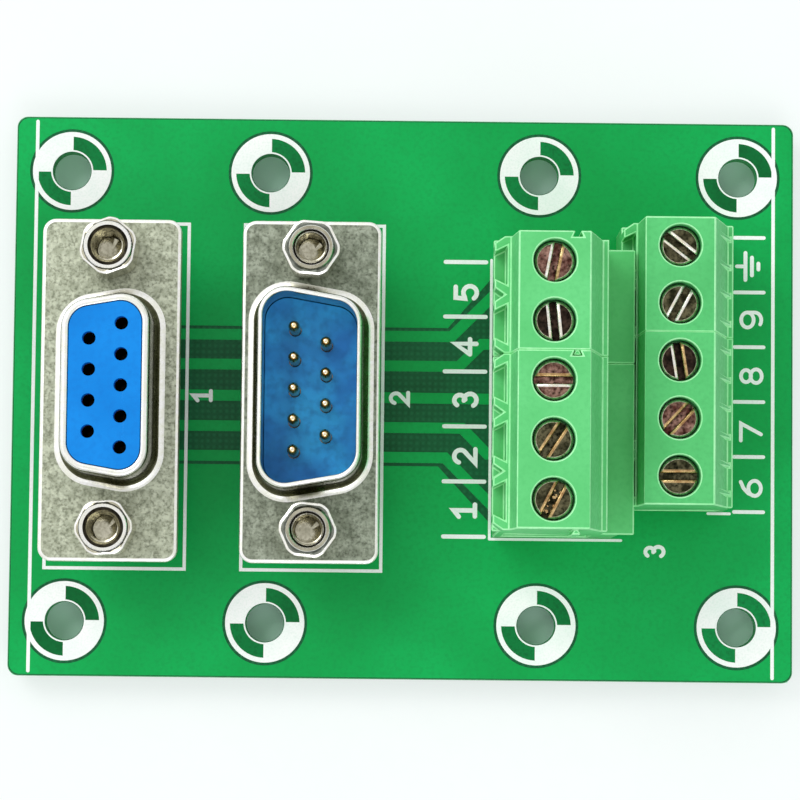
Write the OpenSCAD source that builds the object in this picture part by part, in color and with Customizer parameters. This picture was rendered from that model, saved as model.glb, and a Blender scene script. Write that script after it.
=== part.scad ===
// Breakout adapter: two nine-way D connectors and a two-tier screw terminal block on one board.
// X runs along the board towards the low tier, Y towards the earth terminal, Z up from the board.
// The origin is on the underside of the board, in the middle of its mounting holes.

/* [Board] */
// Length of the board along X
board_x = 72; // [70:0.5:90]
// Width of the board along Y
board_y = 51.7; // [48:0.1:70]
// Thickness of the laminate
board_t = 1.6; // [1:0.1:2.4]
// Radius of the board's corners
board_corner = 1; // [0.5:0.1:2]
// Diameter of the mounting holes
mount_hole_d = 3.5; // [2.5:0.1:4]
// Spacing of the outer mounting holes along X
mount_outer_x = 61.7; // [58:0.1:64]
// Spacing of the inner mounting holes along X
mount_inner_x = 24.9; // [22:0.1:27]
// Spacing of the mounting holes along Y
mount_y = 41.6; // [40:0.1:44]
// How far the trimmed solder tails reach below the board
tail_out = 1.8; // [1:0.1:3]

/* [D connectors] */
// Place of the socket connector along X
socket_x = -26.3; // [-27:0.1:-25]
// Place of the plug connector along X
plug_x = -8.3; // [-9:0.1:-6]
// Place of both connectors along Y
dsub_y = -0.1; // [-1:0.1:1]
// Height of the flange's top face above the board
flange_h = 8.35; // [7.5:0.05:10]
// Distance from a jackscrew to the nearer end of the flange
flange_end = 2.905; // [2.6:0.005:4]
// Width of the flange along X
flange_w = 12.5; // [12:0.1:13]
// Radius of the flange's corners
flange_corner = 1.2; // [0.5:0.1:2]
// Thickness of the steel of each shell
shell_t = 0.5; // [0.4:0.05:0.6]
// Height of the collar above the flange
collar_h = 5.95; // [5:0.05:7]
// Gap between the ends of a socket's collar and of the plug around it
mate_gap = 0.295; // [0.2:0.005:0.5]
// Outer width of the socket's collar
socket_collar_w = 7.9; // [7.6:0.05:8.2]
// Wall of the socket's collar, with its rolled edge
socket_wall = 0.7; // [0.5:0.05:0.8]
// Inner width of the plug's collar
plug_mouth_w = 8.36; // [8.1:0.01:8.6]
// Corner radius of a collar's outline
collar_corner = 2.6; // [2:0.1:3]
// Slant of a collar's short sides
collar_slant = 10; // [5:1:15]
// Gap between the rear cup and the spacers beside it
cup_gap = 0.395; // [0.1:0.005:1]
// Width of the rear cup
cup_w = 10.8; // [10.5:0.05:11]
// How far the pressed step round a collar reaches beyond it
step_out = 0.72; // [0.4:0.01:0.9]
// Height of the pressed step round a collar
step_h = 0.35; // [0.2:0.05:0.6]
// Pitch of the contacts in a row
contact_pitch = 2.74; // [2.6:0.01:2.8]
// Distance between the two rows of contacts
row_pitch = 2.84; // [2.6:0.01:3]
// Diameter of a plug pin
pin_d = 1; // [0.8:0.05:1.1]
// How far the pin tips stay below the plug's rim
pin_below_rim = 0.6; // [0.3:0.1:1.5]
// Diameter of a contact inside its insulator
contact_body_d = 1.6; // [1.4:0.05:1.8]
// Diameter of a solder tail
tail_d = 0.76; // [0.6:0.02:0.8]
// Diameter of the entry holes in the socket's face
entry_d = 1.2; // [1.1:0.05:1.35]

/* [Jackscrews] */
// Distance from an end contact to the jackscrew beyond it
jack_beyond = 7.015; // [6.5:0.005:9]
// Gap between the pressed step round a collar and a hexagon's corner
jack_gap = 0.067; // [0.05:0.001:0.5]
// Width of the hexagon across its flats
jack_af = 4.76; // [4.5:0.01:5]
// Height of the hexagon above the flange
jack_h = 4.85; // [4:0.05:5.5]
// Diameter of the threaded hole in the hexagon
jack_bore_d = 2.3; // [2.1:0.05:2.6]
// Depth of the threaded hole below its countersink
jack_bore_depth = 3.6; // [3:0.1:3.8]
// Diameter of the countersink in the hexagon's top
jack_sink_d = 3.4; // [3:0.1:3.8]
// Diameter of the screw's stud below the flange
stud_d = 2.84; // [2.6:0.02:2.9]
// Length of the screw's stud below the flange
stud_l = 4.6; // [4:0.1:5]
// Outer diameter of the spacer between board and flange
spacer_d = 5; // [4.6:0.1:5.2]

/* [Terminal block] */
// Distance between neighbouring poles
pole_pitch = 5.08; // [5.08:0.01:5.6]
// Place of the tall tier's screws along X
tall_x = 12.76; // [12:0.01:13]
// Distance from the tall tier's screws to the low tier's screws
tier_gap = 11.51; // [11.4:0.01:12]
// Height of the tall tier above the board
tall_h = 24.5; // [24:0.1:30]
// Height of the low tier above the board
low_h = 15.1; // [14.5:0.1:15.5]
// Width of the flat top of each tier
top_w = 6.2; // [6:0.1:6.5]
// Distance from the tall tier's screws back to its rear face
tall_rear = 5; // [4.9:0.05:5.5]
// Distance from the tall tier's screws forward to its front face
tall_front = 5; // [4.9:0.05:5.3]
// Distance from the low tier's screws back to its rear face
low_rear = 4.65; // [4.5:0.05:4.7]
// Distance from the low tier's screws forward to its front face
low_front = 5.3; // [5.2:0.05:6]
// Drop from the flat top to the front strip
front_drop = 6.3; // [6.1:0.05:6.4]
// Drop from the tall tier's flat top to its rear strip
tall_rear_drop = 4.3; // [4:0.1:5]
// Drop from the low tier's flat top to its rear strip
low_rear_drop = 5; // [4.8:0.1:5.2]
// Depth of the dovetail slots in the rear face
slot_depth = 1.1; // [0.8:0.05:1.15]
// Height of the dovetail slots
slot_h = 3.2; // [2:0.1:4]
// Reach of the tall tier's foot in front of its front face
foot_out = 1.6; // [1.2:0.05:1.65]
// Height of the tall tier's foot
foot_h = 10.9; // [10.8:0.1:11.5]
// How far the tall tier's rear wall is set back under its rear strip
undercut = 0.6; // [0.4:0.05:0.8]
// How far the foot's lip laps over the low tier's rear strip
lip_out = 1.24; // [1:0.02:1.3]
// Thickness of the foot's lip
lip_t = 0.65; // [0.5:0.05:0.7]
// Width of the dovetail rib that locks neighbouring modules together
key_w = 0.8; // [0.6:0.1:1]
// Width of the locking rib at its root
key_neck = 0.3; // [0.25:0.05:0.5]
// How far the locking rib stands out
key_out = 0.45; // [0.3:0.05:0.5]
// Height of the locking rib
key_h = 6; // [4:0.5:10]

/* [Clamps] */
// Diameter of the screw wells in the top
well_d = 3.7; // [3.6:0.05:3.8]
// Diameter of a clamp screw's head
head_d = 3.4; // [3.2:0.05:3.5]
// Height of a clamp screw's head
head_h = 1.3; // [1:0.05:1.4]
// How far the heads lie below the top
head_sunk = 0.9; // [0.7:0.05:1]
// Width of the screwdriver slot
driver_w = 0.8; // [0.5:0.05:1]
// Depth of the screwdriver slot
driver_depth = 0.8; // [0.5:0.05:0.9]
// Diameter of a clamp screw's shank
shank_d = 2.6; // [2.4:0.05:2.6]
// Thickness of the housing's wall between neighbouring cages
pole_wall = 0.84; // [0.7:0.01:1.2]
// Thickness of a rising cage's side walls
cage_side_t = 0.55; // [0.4:0.05:0.6]
// Length of a rising cage along X
cage_l = 4.4; // [4:0.1:4.6]
// Height of the space for the wire when the clamp is open
wire_h = 2.3; // [2:0.1:2.3]
// Travel of the cage from open to closed
cage_travel = 2.2; // [1.8:0.1:2.2]
// Thickness of the cage's threaded top
cage_top_t = 1.1; // [0.9:0.1:1.1]
// Thickness of the current bar
bar_t = 0.7; // [0.5:0.05:0.7]
// Gap between the current bar and the cage around it
bar_gap = 0.15; // [0.1:0.01:0.3]

/* [Hidden] */
$fn = 48;
arc_steps = 8;

// Overlap of drawn solids, and clearances of cages, turning screws, seats and close fits
flush = 0.01;
slide_gap = 0.12;
turn_gap = 0.06;
seat_gap = 0.05;
fit_gap = 0.05;

// The end contacts place the jackscrews, and these set how long each shell and collar is
contact_ways = 5;
jack_pitch = (contact_ways - 1) * contact_pitch + 2 * jack_beyond;
jack_corner_d = jack_af / cos(30);
flange_l = jack_pitch + 2 * flange_end;
plug_collar_l = jack_pitch - jack_corner_d - 2 * (jack_gap + step_out);
plug_mouth_l = plug_collar_l - 2 * shell_t;
socket_collar_l = plug_mouth_l - 2 * mate_gap;
cup_l = jack_pitch - spacer_d - 2 * cup_gap;
plug_collar_w = plug_mouth_w + 2 * shell_t;

board_top = board_t;
flange_top = board_top + flange_h;
rim_z = flange_top + collar_h;
rear_plate_top = flange_top - shell_t;
cup_top = rear_plate_top - shell_t;
cup_depth = 3.3;
front_base_t = 1.8;
rear_body_bottom = cup_top - cup_depth - 0.4;
rear_body_floor = 1;
contact_mouth = 1.4;
contact_grip = 5;
plug_floor = 0.35;
pin_nose_d = 0.4;
stud_clear = 0.13;
jack_bevel = 0.35;
sink_depth = (jack_sink_d - jack_bore_d) / 2;
tail_hole_d = 1.1;
pin_hole_d = 1.5;

// Spacer and its split prong with a barb under the board
spacer_floor = 1;
prong_d = 2.9;
prong_bore_d = 2.1;
prong_hole_d = 3.2;
prong_slot_w = 0.8;
prong_slot_top = board_t - 0.5;
barb_d = 3.5;
barb_tip_d = 2.6;
barb_gap = 0.2;

// Terminal rows
low_x = tall_x + tier_gap;
low_y = pole_pitch / 2;
upper_ways = 5;
north_ways = 2;
web_t = 0.7;
front_flat = 0.55;
slope_in = 0.45;
low_slope_in = 0.3;
base_wall = 0.9;
base_reach = 1.4;
panel_depth = 0.35;
panel_rim = 0.8;
panel_front_h = 0.3;
key_gap = 0.06;
key_below = 0.3;
overhang_drop = 1.2;
overhang_z = tall_h - tall_rear_drop - slot_h - overhang_drop;
slot_mouth = 2.3;
slot_base = 3.4;
notch_w = 1.2;
notch_depth = 0.8 * slot_depth;
rib_w = 0.35;
rib_rise = 0.25;
rib_sink = 0.2;

// Wire entries, cages and current bars
entry_w = 3.4;
mouth_over = 0.45;
mouth_depth = 0.8;
chamber_end = 0.3;
cage_floor_t = 0.8;
cage_w = pole_pitch - pole_wall - 2 * slide_gap;
bar_w = cage_w - 2 * (cage_side_t + bar_gap);
tip_gap = 0.15;
bar_short = 0.3;
leg_t = 0.6;
leg_x = -cage_l / 2 - chamber_end - leg_t;
solder_pin_w = 1;

// Heights measured down from the top of a tier
head_seat = head_sunk + head_h;
chamber_top = head_seat + web_t;
bar_top = chamber_top + slide_gap + cage_travel + cage_top_t + slide_gap;
bar_bottom = bar_top + bar_t;
cage_bottom = bar_bottom + wire_h + cage_floor_t;
chamber_bottom = cage_bottom + slide_gap;

// Turn of each screwdriver slot from the Y axis, from the earth end down the row
tall_slots = [-11, 6, 90, -33, -27];
low_slots = [52, -28, 9, -43, 90];

pole_names = ["5", "4", "3", "2", "1"];
low_names = ["earth", "9", "8", "7", "6"];

// Places of the poles along Y, from the earth end
function tall_y(i) = (upper_ways - 1) / 2 * pole_pitch - i * pole_pitch;
function row_y(i) = low_y + tall_y(i);

// Points of an arc about a centre, from one angle to another
function arc(cx, cy, r, a0, a1) =
    [for (k = [0:arc_steps]) let (a = a0 + (a1 - a0) * k / arc_steps) [cx + r * cos(a), cy + r * sin(a)]];

// Rectangle with round corners, centred
function round_rect(l, w, r) = concat(
    arc(l / 2 - r, w / 2 - r, r, 0, 90),
    arc(-l / 2 + r, w / 2 - r, r, 90, 180),
    arc(-l / 2 + r, -w / 2 + r, r, 180, 270),
    arc(l / 2 - r, -w / 2 + r, r, 270, 360)
);

// D outline, long way along Y and wide side towards +X
function d_outline(l, w, r) =
    let (wide_y = l / 2 - r, cx = w / 2 - r, narrow_y = wide_y - 2 * cx * tan(collar_slant))
    concat(
        arc(cx, wide_y, r, 0, 90 + collar_slant),
        arc(-cx, narrow_y, r, 90 + collar_slant, 180),
        arc(-cx, -narrow_y, r, 180, 270 - collar_slant),
        arc(cx, -wide_y, r, 270 - collar_slant, 360)
    );

// Upright prism with a D outline; grow widens it all round
module d_prism(l, w, grow, z0, z1) {
    translate([0, 0, z0])
        linear_extrude(z1 - z0)
            polygon(d_outline(l + 2 * grow, w + 2 * grow, collar_corner + grow));
}

// Places its children at the connector, the plug with its wide side towards -X
module at_socket() {
    translate([socket_x, dsub_y, 0]) children();
}

module at_plug() {
    translate([plug_x, dsub_y, 0]) rotate([0, 0, 180]) children();
}

// Places its children at each contact of a connector
module each_contact() {
    half = (contact_ways - 1) / 2;
    for (i = [-half:half]) translate([row_pitch / 2, i * contact_pitch, 0]) children();
    for (i = [0.5 - half:half - 0.5]) translate([-row_pitch / 2, i * contact_pitch, 0]) children();
}

module each_jack() {
    for (s = [-1, 1]) translate([0, s * jack_pitch / 2, 0]) children();
}

module each_mount_hole() {
    for (x = [mount_outer_x, mount_inner_x], sx = [-1, 1], sy = [-1, 1])
        translate([sx * x / 2, sy * mount_y / 2, 0]) children();
}

module circuit_board() {
    color("seagreen")
    difference() {
        linear_extrude(board_t) polygon(round_rect(board_x, board_y, board_corner));
        each_mount_hole() board_hole(mount_hole_d);
        at_socket() board_holes();
        at_plug() board_holes();
        for (i = [0:upper_ways - 1]) {
            translate([tall_x + leg_x + leg_t / 2, tall_y(i), 0]) board_hole(pin_hole_d);
            translate([low_x + leg_x + leg_t / 2, row_y(i), 0]) board_hole(pin_hole_d);
        }
    }
}

module board_hole(d) {
    translate([0, 0, -1]) cylinder(d = d, h = board_t + 2);
}

module board_holes() {
    each_contact() board_hole(tail_hole_d);
    each_jack() board_hole(prong_hole_d);
}

// Flat steel plate with holes for the jackscrews
module flange_plate(z0) {
    difference() {
        translate([0, 0, z0]) linear_extrude(shell_t) polygon(round_rect(flange_w, flange_l, flange_corner));
        each_jack() translate([0, 0, z0 - 1]) cylinder(d = stud_d + 2 * stud_clear, h = shell_t + 2);
    }
}

// Flange, pressed step and D collar of one connector, drawn from one sheet
module front_shell(l, w, wall) {
    difference() {
        union() {
            flange_plate(flange_top - shell_t);
            d_prism(l, w, step_out, flange_top - shell_t, flange_top + step_h);
            d_prism(l, w, 0, flange_top - shell_t, rim_z);
        }
        d_prism(l, w, -wall, flange_top - shell_t - 1, rim_z + 1);
    }
}

// Flange and cup behind a connector, the same for socket and plug
module rear_shell() {
    difference() {
        union() {
            flange_plate(cup_top);
            d_prism(cup_l, cup_w, 0, cup_top - cup_depth, rear_plate_top);
        }
        d_prism(cup_l, cup_w, -shell_t, cup_top - cup_depth - 1, rear_plate_top + 1);
    }
}

// Base of a front insulator, held between the two shells
module insulator_base() {
    d_prism(cup_l, cup_w, -shell_t - fit_gap, rear_plate_top - front_base_t, rear_plate_top);
}

module rear_insulator() {
    top = rear_plate_top - front_base_t;
    difference() {
        d_prism(cup_l, cup_w, -shell_t - fit_gap, rear_body_bottom, top);
        each_contact() {
            translate([0, 0, rear_body_bottom + rear_body_floor])
                cylinder(d = contact_body_d + 2 * fit_gap, h = top - rear_body_bottom);
            cylinder(d = tail_d + 2 * fit_gap, h = top);
        }
    }
}

// Solder tail and body of a contact, up to a height
module contact_stem(top) {
    body_bottom = rear_body_bottom + rear_body_floor + seat_gap;
    translate([0, 0, -tail_out]) cylinder(d = tail_d, h = body_bottom + tail_out + flush);
    translate([0, 0, body_bottom]) cylinder(d = contact_body_d, h = top - body_bottom);
}

module socket_front_shell() {
    color("silver") at_socket() front_shell(socket_collar_l, socket_collar_w, socket_wall);
}

module socket_rear_shell() {
    color("silver") at_socket() rear_shell();
}

module socket_front_insulator() {
    face = rim_z - fit_gap;
    color("dodgerblue")
    at_socket()
    difference() {
        union() {
            insulator_base();
            d_prism(socket_collar_l, socket_collar_w, -socket_wall - fit_gap, rear_plate_top - flush, face);
        }
        each_contact() {
            cylinder(d = contact_body_d + 2 * fit_gap, h = face - contact_mouth);
            cylinder(d = entry_d, h = rim_z + 1);
        }
    }
}

module socket_rear_insulator() {
    color("royalblue") at_socket() rear_insulator();
}

module socket_contacts() {
    top = rim_z - fit_gap - contact_mouth - seat_gap;
    color("gold")
    at_socket()
    each_contact()
    difference() {
        contact_stem(top);
        translate([0, 0, top - contact_grip]) cylinder(d = pin_d + 2 * fit_gap, h = contact_grip + 1);
    }
}

module plug_front_shell() {
    color("silver") at_plug() front_shell(plug_collar_l, plug_collar_w, shell_t);
}

module plug_rear_shell() {
    color("silver") at_plug() rear_shell();
}

module plug_front_insulator() {
    floor_z = flange_top + plug_floor;
    color("steelblue")
    at_plug()
    difference() {
        union() {
            insulator_base();
            d_prism(plug_collar_l, plug_collar_w, -shell_t - fit_gap, rear_plate_top - flush, floor_z);
        }
        each_contact() {
            cylinder(d = contact_body_d + 2 * fit_gap, h = rear_plate_top);
            cylinder(d = pin_d + 2 * fit_gap, h = floor_z + 1);
        }
    }
}

module plug_rear_insulator() {
    color("royalblue") at_plug() rear_insulator();
}

module plug_pins() {
    shoulder = rear_plate_top - seat_gap;
    tip = rim_z - pin_below_rim;
    nose = pin_d / 2;
    color("gold")
    at_plug()
    each_contact() {
        contact_stem(shoulder);
        translate([0, 0, shoulder - flush]) cylinder(d = pin_d, h = tip - nose - shoulder + flush);
        translate([0, 0, tip - nose]) cylinder(d1 = pin_d, d2 = pin_nose_d, h = nose);
    }
}

// Hexagon with a bevelled top and threaded hole, on a stud that holds the shells
module jackscrew(turn) {
    difference() {
        union() {
            intersection() {
                rotate([0, 0, turn]) translate([0, 0, flange_top]) cylinder(d = jack_corner_d, h = jack_h, $fn = 6);
                translate([0, 0, flange_top - flush])
                    rotate_extrude()
                        polygon([
                            [0, 0],
                            [jack_corner_d / 2 + flush, 0],
                            [jack_corner_d / 2 + flush, jack_h - jack_bevel],
                            [jack_af / 2 - flush, jack_h + flush],
                            [0, jack_h + flush]
                        ]);
            }
            translate([0, 0, flange_top - stud_l]) cylinder(d = stud_d, h = stud_l + flush);
        }
        translate([0, 0, flange_top + jack_h - sink_depth]) {
            translate([0, 0, -jack_bore_depth]) cylinder(d = jack_bore_d, h = jack_bore_depth + 1);
            cylinder(d1 = jack_bore_d, d2 = jack_sink_d, h = sink_depth + flush);
        }
    }
}

module jack_pair(turn_a, turn_b) {
    translate([0, jack_pitch / 2, 0]) jackscrew(turn_a);
    translate([0, -jack_pitch / 2, 0]) jackscrew(turn_b);
}

module socket_jackscrews() {
    color("gainsboro") at_socket() jack_pair(20, 4);
}

module plug_jackscrews() {
    color("gainsboro") at_plug() jack_pair(-6, 12);
}

// Tube between board and flange, with a split prong that snaps into the board
module spacer() {
    bore_d = stud_d + 2 * turn_gap;
    difference() {
        union() {
            translate([0, 0, board_top]) cylinder(d = spacer_d, h = cup_top - board_top);
            translate([0, 0, -tail_out]) cylinder(d = prong_d, h = board_top + tail_out + flush);
            translate([0, 0, -tail_out]) cylinder(d1 = barb_tip_d, d2 = barb_d, h = tail_out - barb_gap);
        }
        translate([0, 0, board_top + spacer_floor]) cylinder(d = bore_d, h = cup_top);
        translate([0, 0, -tail_out - 1]) cylinder(d = prong_bore_d, h = board_top + spacer_floor + tail_out + 2);
        translate([-prong_slot_w / 2, -spacer_d, -tail_out - 1])
            cube([prong_slot_w, 2 * spacer_d, prong_slot_top + tail_out + 1]);
    }
}

module socket_spacers() {
    color("darkgray") at_socket() each_jack() spacer();
}

module plug_spacers() {
    color("darkgray") at_plug() each_jack() spacer();
}

// Side outlines of the two tiers, seen along the row, with the screw axis at zero
function tall_outline() = [
    [-tall_rear + undercut, 0],
    [tall_front + foot_out, 0],
    [tall_front + foot_out, foot_h - lip_t],
    [tall_front + foot_out + lip_out, foot_h - lip_t],
    [tall_front + foot_out + lip_out, foot_h],
    [tall_front, foot_h],
    [tall_front, tall_h - front_drop],
    [tall_front - front_flat, tall_h - front_drop],
    [top_w / 2, tall_h],
    [-top_w / 2, tall_h],
    [-top_w / 2 - slope_in, tall_h - tall_rear_drop],
    [-tall_rear, tall_h - tall_rear_drop],
    [-tall_rear, overhang_z + undercut],
    [-tall_rear + undercut, overhang_z]
];

function low_outline() = [
    [-low_rear, 0],
    [low_front, 0],
    [low_front, low_h - front_drop],
    [low_front - front_flat, low_h - front_drop],
    [top_w / 2, low_h],
    [-top_w / 2, low_h],
    [-top_w / 2 - low_slope_in, low_h - low_rear_drop],
    [-low_rear, low_h - low_rear_drop]
];

// Extrudes a side outline along the row, from y1 down to y0
module along_row(outline, y0, y1) {
    translate([0, y1, 0]) rotate([90, 0, 0]) linear_extrude(y1 - y0) polygon(outline);
}

// Everything that one pole cuts out of its housing
module pole_cuts(h, front) {
    chamber_l = cage_l + 2 * chamber_end;
    chamber_w = cage_w + 2 * slide_gap;
    translate([0, 0, h - head_seat - seat_gap]) cylinder(d = well_d, h = head_seat + 1);
    translate([0, 0, h - chamber_top - 1]) cylinder(d = shank_d + 2 * turn_gap, h = web_t + 2);
    translate([-chamber_l / 2, -chamber_w / 2, h - chamber_bottom])
        cube([chamber_l, chamber_w, chamber_bottom - chamber_top]);
    translate([0, -entry_w / 2, h - bar_bottom - wire_h - flush])
        cube([front + 1, entry_w, wire_h + 2 * flush]);
    translate([front - mouth_depth, -chamber_w / 2, h - bar_bottom - wire_h - mouth_over])
        cube([mouth_depth + 1, chamber_w, wire_h + 2 * mouth_over]);
    translate([leg_x - fit_gap, -bar_w / 2 - fit_gap, -1])
        cube([leg_t + chamber_end + 1, bar_w + 2 * fit_gap, h - bar_top + fit_gap + 1]);
    translate([-cage_l / 2, -cage_w / 2, -1])
        cube([cage_l + base_reach, cage_w, h - chamber_bottom - base_wall + 1]);
}

// Dovetail slot of one pole in the rear face
module rear_slot(rear, strip_z) {
    translate([-rear, 0, strip_z - slot_h])
        linear_extrude(slot_h + 1)
            polygon([
                [-1, -slot_mouth / 2],
                [0, -slot_mouth / 2],
                [slot_depth, -slot_base / 2],
                [slot_depth, slot_base / 2],
                [0, slot_mouth / 2],
                [-1, slot_mouth / 2]
            ]);
}

// Small V notch in the rear face between two poles
module boundary_notch(rear, strip_z) {
    translate([-rear, 0, strip_z - slot_h])
        linear_extrude(slot_h + 1)
            polygon([
                [-1, -notch_w / 2],
                [0, -notch_w / 2],
                [notch_depth, 0],
                [0, notch_w / 2],
                [-1, notch_w / 2]
            ]);
}

// Shallow sunk panel on the south end face
module end_panel(rear, front, h, y0) {
    translate([0, y0 + panel_depth, 0])
        rotate([90, 0, 0])
            linear_extrude(panel_depth + 1)
                polygon([
                    [-rear + undercut + panel_rim, panel_rim],
                    [front - panel_rim, panel_rim],
                    [front - panel_rim, h * panel_front_h],
                    [-rear + undercut + panel_rim, h - 2 * front_drop]
                ]);
}

// Section of the dovetail rib, seen from above, or of its groove with a gap all round
module key_section(gap, rise) {
    neck = key_neck / 2 + gap;
    tail = key_w / 2 + gap;
    tip = -key_out - gap;
    polygon([[-neck, rise], [neck, rise], [neck, 0], [tail, tip], [-tail, tip], [-neck, 0]]);
}

// One housing module: poles from index first to last of its row
module housing(outline, rear, front, h, strip_z, first, last, keyed) {
    y1 = pole_pitch / 2 - first * pole_pitch;
    y0 = -pole_pitch / 2 - last * pole_pitch;
    key_x = top_w / 4 + key_w / 2;
    difference() {
        union() {
            along_row(outline, y0, y1);
            if (keyed)
                translate([key_x, y0, h - key_below - key_h]) linear_extrude(key_h) key_section(0, flush);
        }
        for (i = [first:last]) translate([0, -i * pole_pitch, 0]) {
            pole_cuts(h, front);
            rear_slot(rear, strip_z);
        }
        for (i = [first:last + 1]) translate([0, pole_pitch / 2 - i * pole_pitch, 0])
            boundary_notch(rear, strip_z);
        if (keyed)
            translate([key_x, y1, -1]) linear_extrude(h + 2) key_section(key_gap, 1);
        end_panel(rear, front, h, y0);
    }
}

module at_tall_row() {
    translate([tall_x, tall_y(0), board_top]) children();
}

module at_low_row() {
    translate([low_x, row_y(0), board_top]) children();
}

module tall_housing(first, last) {
    color("lightgreen")
    at_tall_row()
    housing(tall_outline(), tall_rear, tall_front, tall_h, tall_h - tall_rear_drop, first, last, true);
}

module low_housing(first, last) {
    color("lightgreen")
    at_low_row() {
        housing(low_outline(), low_rear, low_front, low_h, low_h - low_rear_drop, first, last, false);
        for (i = [first:last], s = [-1, 1])
            translate([0, -i * pole_pitch + s * pole_pitch / 4, 0]) slope_rib();
    }
}

// Thin rib on the front slope beside a wire entry
module slope_rib() {
    crest_x = top_w / 2;
    foot_x = low_front - front_flat;
    foot_z = low_h - front_drop;
    along_row([
        [crest_x - rib_sink, low_h - 3 * rib_sink],
        [foot_x - rib_sink, foot_z - rib_sink],
        [foot_x + rib_rise, foot_z - rib_sink],
        [foot_x + rib_rise, foot_z + rib_sink],
        [crest_x + rib_rise, low_h - 6 * rib_sink]
    ], -rib_w / 2, rib_w / 2);
}

module tall_housing_north() {
    tall_housing(0, north_ways - 1);
}

module tall_housing_south() {
    tall_housing(north_ways, upper_ways - 1);
}

module low_housing_north() {
    low_housing(0, north_ways - 1);
}

module low_housing_south() {
    low_housing(north_ways, upper_ways - 1);
}

// Bar that the wire is pressed against, with its leg and solder pin in one strip
module contact_bar(h) {
    translate([leg_x, -bar_w / 2, h - bar_bottom]) cube([cage_l / 2 - leg_x - bar_short, bar_w, bar_t]);
    translate([leg_x, -bar_w / 2, seat_gap]) cube([leg_t, bar_w, h - bar_top - seat_gap]);
    translate([leg_x, -solder_pin_w / 2, -board_t - tail_out])
        cube([leg_t, solder_pin_w, board_t + tail_out + seat_gap + flush]);
}

module tall_contact_bars() {
    color("lightgray")
    at_tall_row()
    for (i = [0:upper_ways - 1]) translate([0, -i * pole_pitch, 0]) contact_bar(tall_h);
}

module low_contact_bars() {
    color("lightgray")
    at_low_row()
    for (i = [0:upper_ways - 1]) translate([0, -i * pole_pitch, 0]) contact_bar(low_h);
}

// Slotted screw that is held in the housing and draws the cage up
module clamp_screw(h, turn) {
    color("rosybrown")
    difference() {
        union() {
            translate([0, 0, h - head_seat]) cylinder(d = head_d, h = head_h);
            translate([0, 0, h - bar_top + tip_gap]) cylinder(d = shank_d, h = bar_top - tip_gap - head_seat + flush);
        }
        rotate([0, 0, turn])
            translate([-driver_w / 2, -head_d, h - head_sunk - driver_depth])
                cube([driver_w, 2 * head_d, driver_depth + 1]);
    }
}

// Box nut that rises on the screw and pulls the wire up against the bar
module rising_cage(h) {
    cage_top = bar_top - slide_gap - cage_top_t;
    color("goldenrod")
    difference() {
        translate([-cage_l / 2, -cage_w / 2, h - cage_bottom]) cube([cage_l, cage_w, cage_bottom - cage_top]);
        translate([-cage_l, -cage_w / 2 + cage_side_t, h - cage_bottom + cage_floor_t])
            cube([2 * cage_l, cage_w - 2 * cage_side_t, wire_h + bar_t + slide_gap]);
        translate([0, 0, h - bar_top]) cylinder(d = shank_d + 2 * turn_gap, h = bar_top);
    }
}

circuit_board();
socket_front_shell();
socket_rear_shell();
socket_front_insulator();
socket_rear_insulator();
socket_contacts();
socket_jackscrews();
socket_spacers();
plug_front_shell();
plug_rear_shell();
plug_front_insulator();
plug_rear_insulator();
plug_pins();
plug_jackscrews();
plug_spacers();
tall_housing_north();
tall_housing_south();
low_housing_north();
low_housing_south();
tall_contact_bars();
low_contact_bars();
for (i = [0:upper_ways - 1]) {
    drop = [0, -i * pole_pitch, 0];
    at_tall_row() translate(drop) clamp_screw(tall_h, tall_slots[i]);
    at_low_row() translate(drop) clamp_screw(low_h, low_slots[i]);
    at_tall_row() translate(drop) rising_cage(tall_h);
    at_low_row() translate(drop) rising_cage(low_h);
}
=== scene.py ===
"""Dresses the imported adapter: two D connectors and a two-tier terminal block on a green circuit board.

Sizes are in millimetres until a mesh is made. X runs along the board, Y towards the earth terminal, Z up.
"""

import random
from math import atan2, cos, degrees, pi, radians, sin, tan

import bmesh
import bpy
from mathutils import Euler, Matrix, Vector


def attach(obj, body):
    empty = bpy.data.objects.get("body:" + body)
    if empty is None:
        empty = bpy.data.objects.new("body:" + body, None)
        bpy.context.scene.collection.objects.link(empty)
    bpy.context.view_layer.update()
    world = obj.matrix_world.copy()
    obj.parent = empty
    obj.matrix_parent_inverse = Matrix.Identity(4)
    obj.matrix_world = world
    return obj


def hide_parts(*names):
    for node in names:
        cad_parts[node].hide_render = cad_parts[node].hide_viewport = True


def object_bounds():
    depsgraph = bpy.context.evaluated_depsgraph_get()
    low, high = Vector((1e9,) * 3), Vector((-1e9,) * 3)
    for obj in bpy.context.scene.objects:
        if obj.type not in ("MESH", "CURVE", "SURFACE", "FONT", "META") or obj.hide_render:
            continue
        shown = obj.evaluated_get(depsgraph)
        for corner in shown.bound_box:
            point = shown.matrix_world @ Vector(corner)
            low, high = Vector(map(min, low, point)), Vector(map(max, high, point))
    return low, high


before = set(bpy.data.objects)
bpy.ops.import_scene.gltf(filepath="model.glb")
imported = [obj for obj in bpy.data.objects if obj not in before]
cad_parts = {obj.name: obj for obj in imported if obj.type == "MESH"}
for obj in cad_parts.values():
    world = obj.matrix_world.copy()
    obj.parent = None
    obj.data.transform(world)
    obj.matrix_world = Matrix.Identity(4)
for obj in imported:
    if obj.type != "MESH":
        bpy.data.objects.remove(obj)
cad_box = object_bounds()

MM = 0.001

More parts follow.
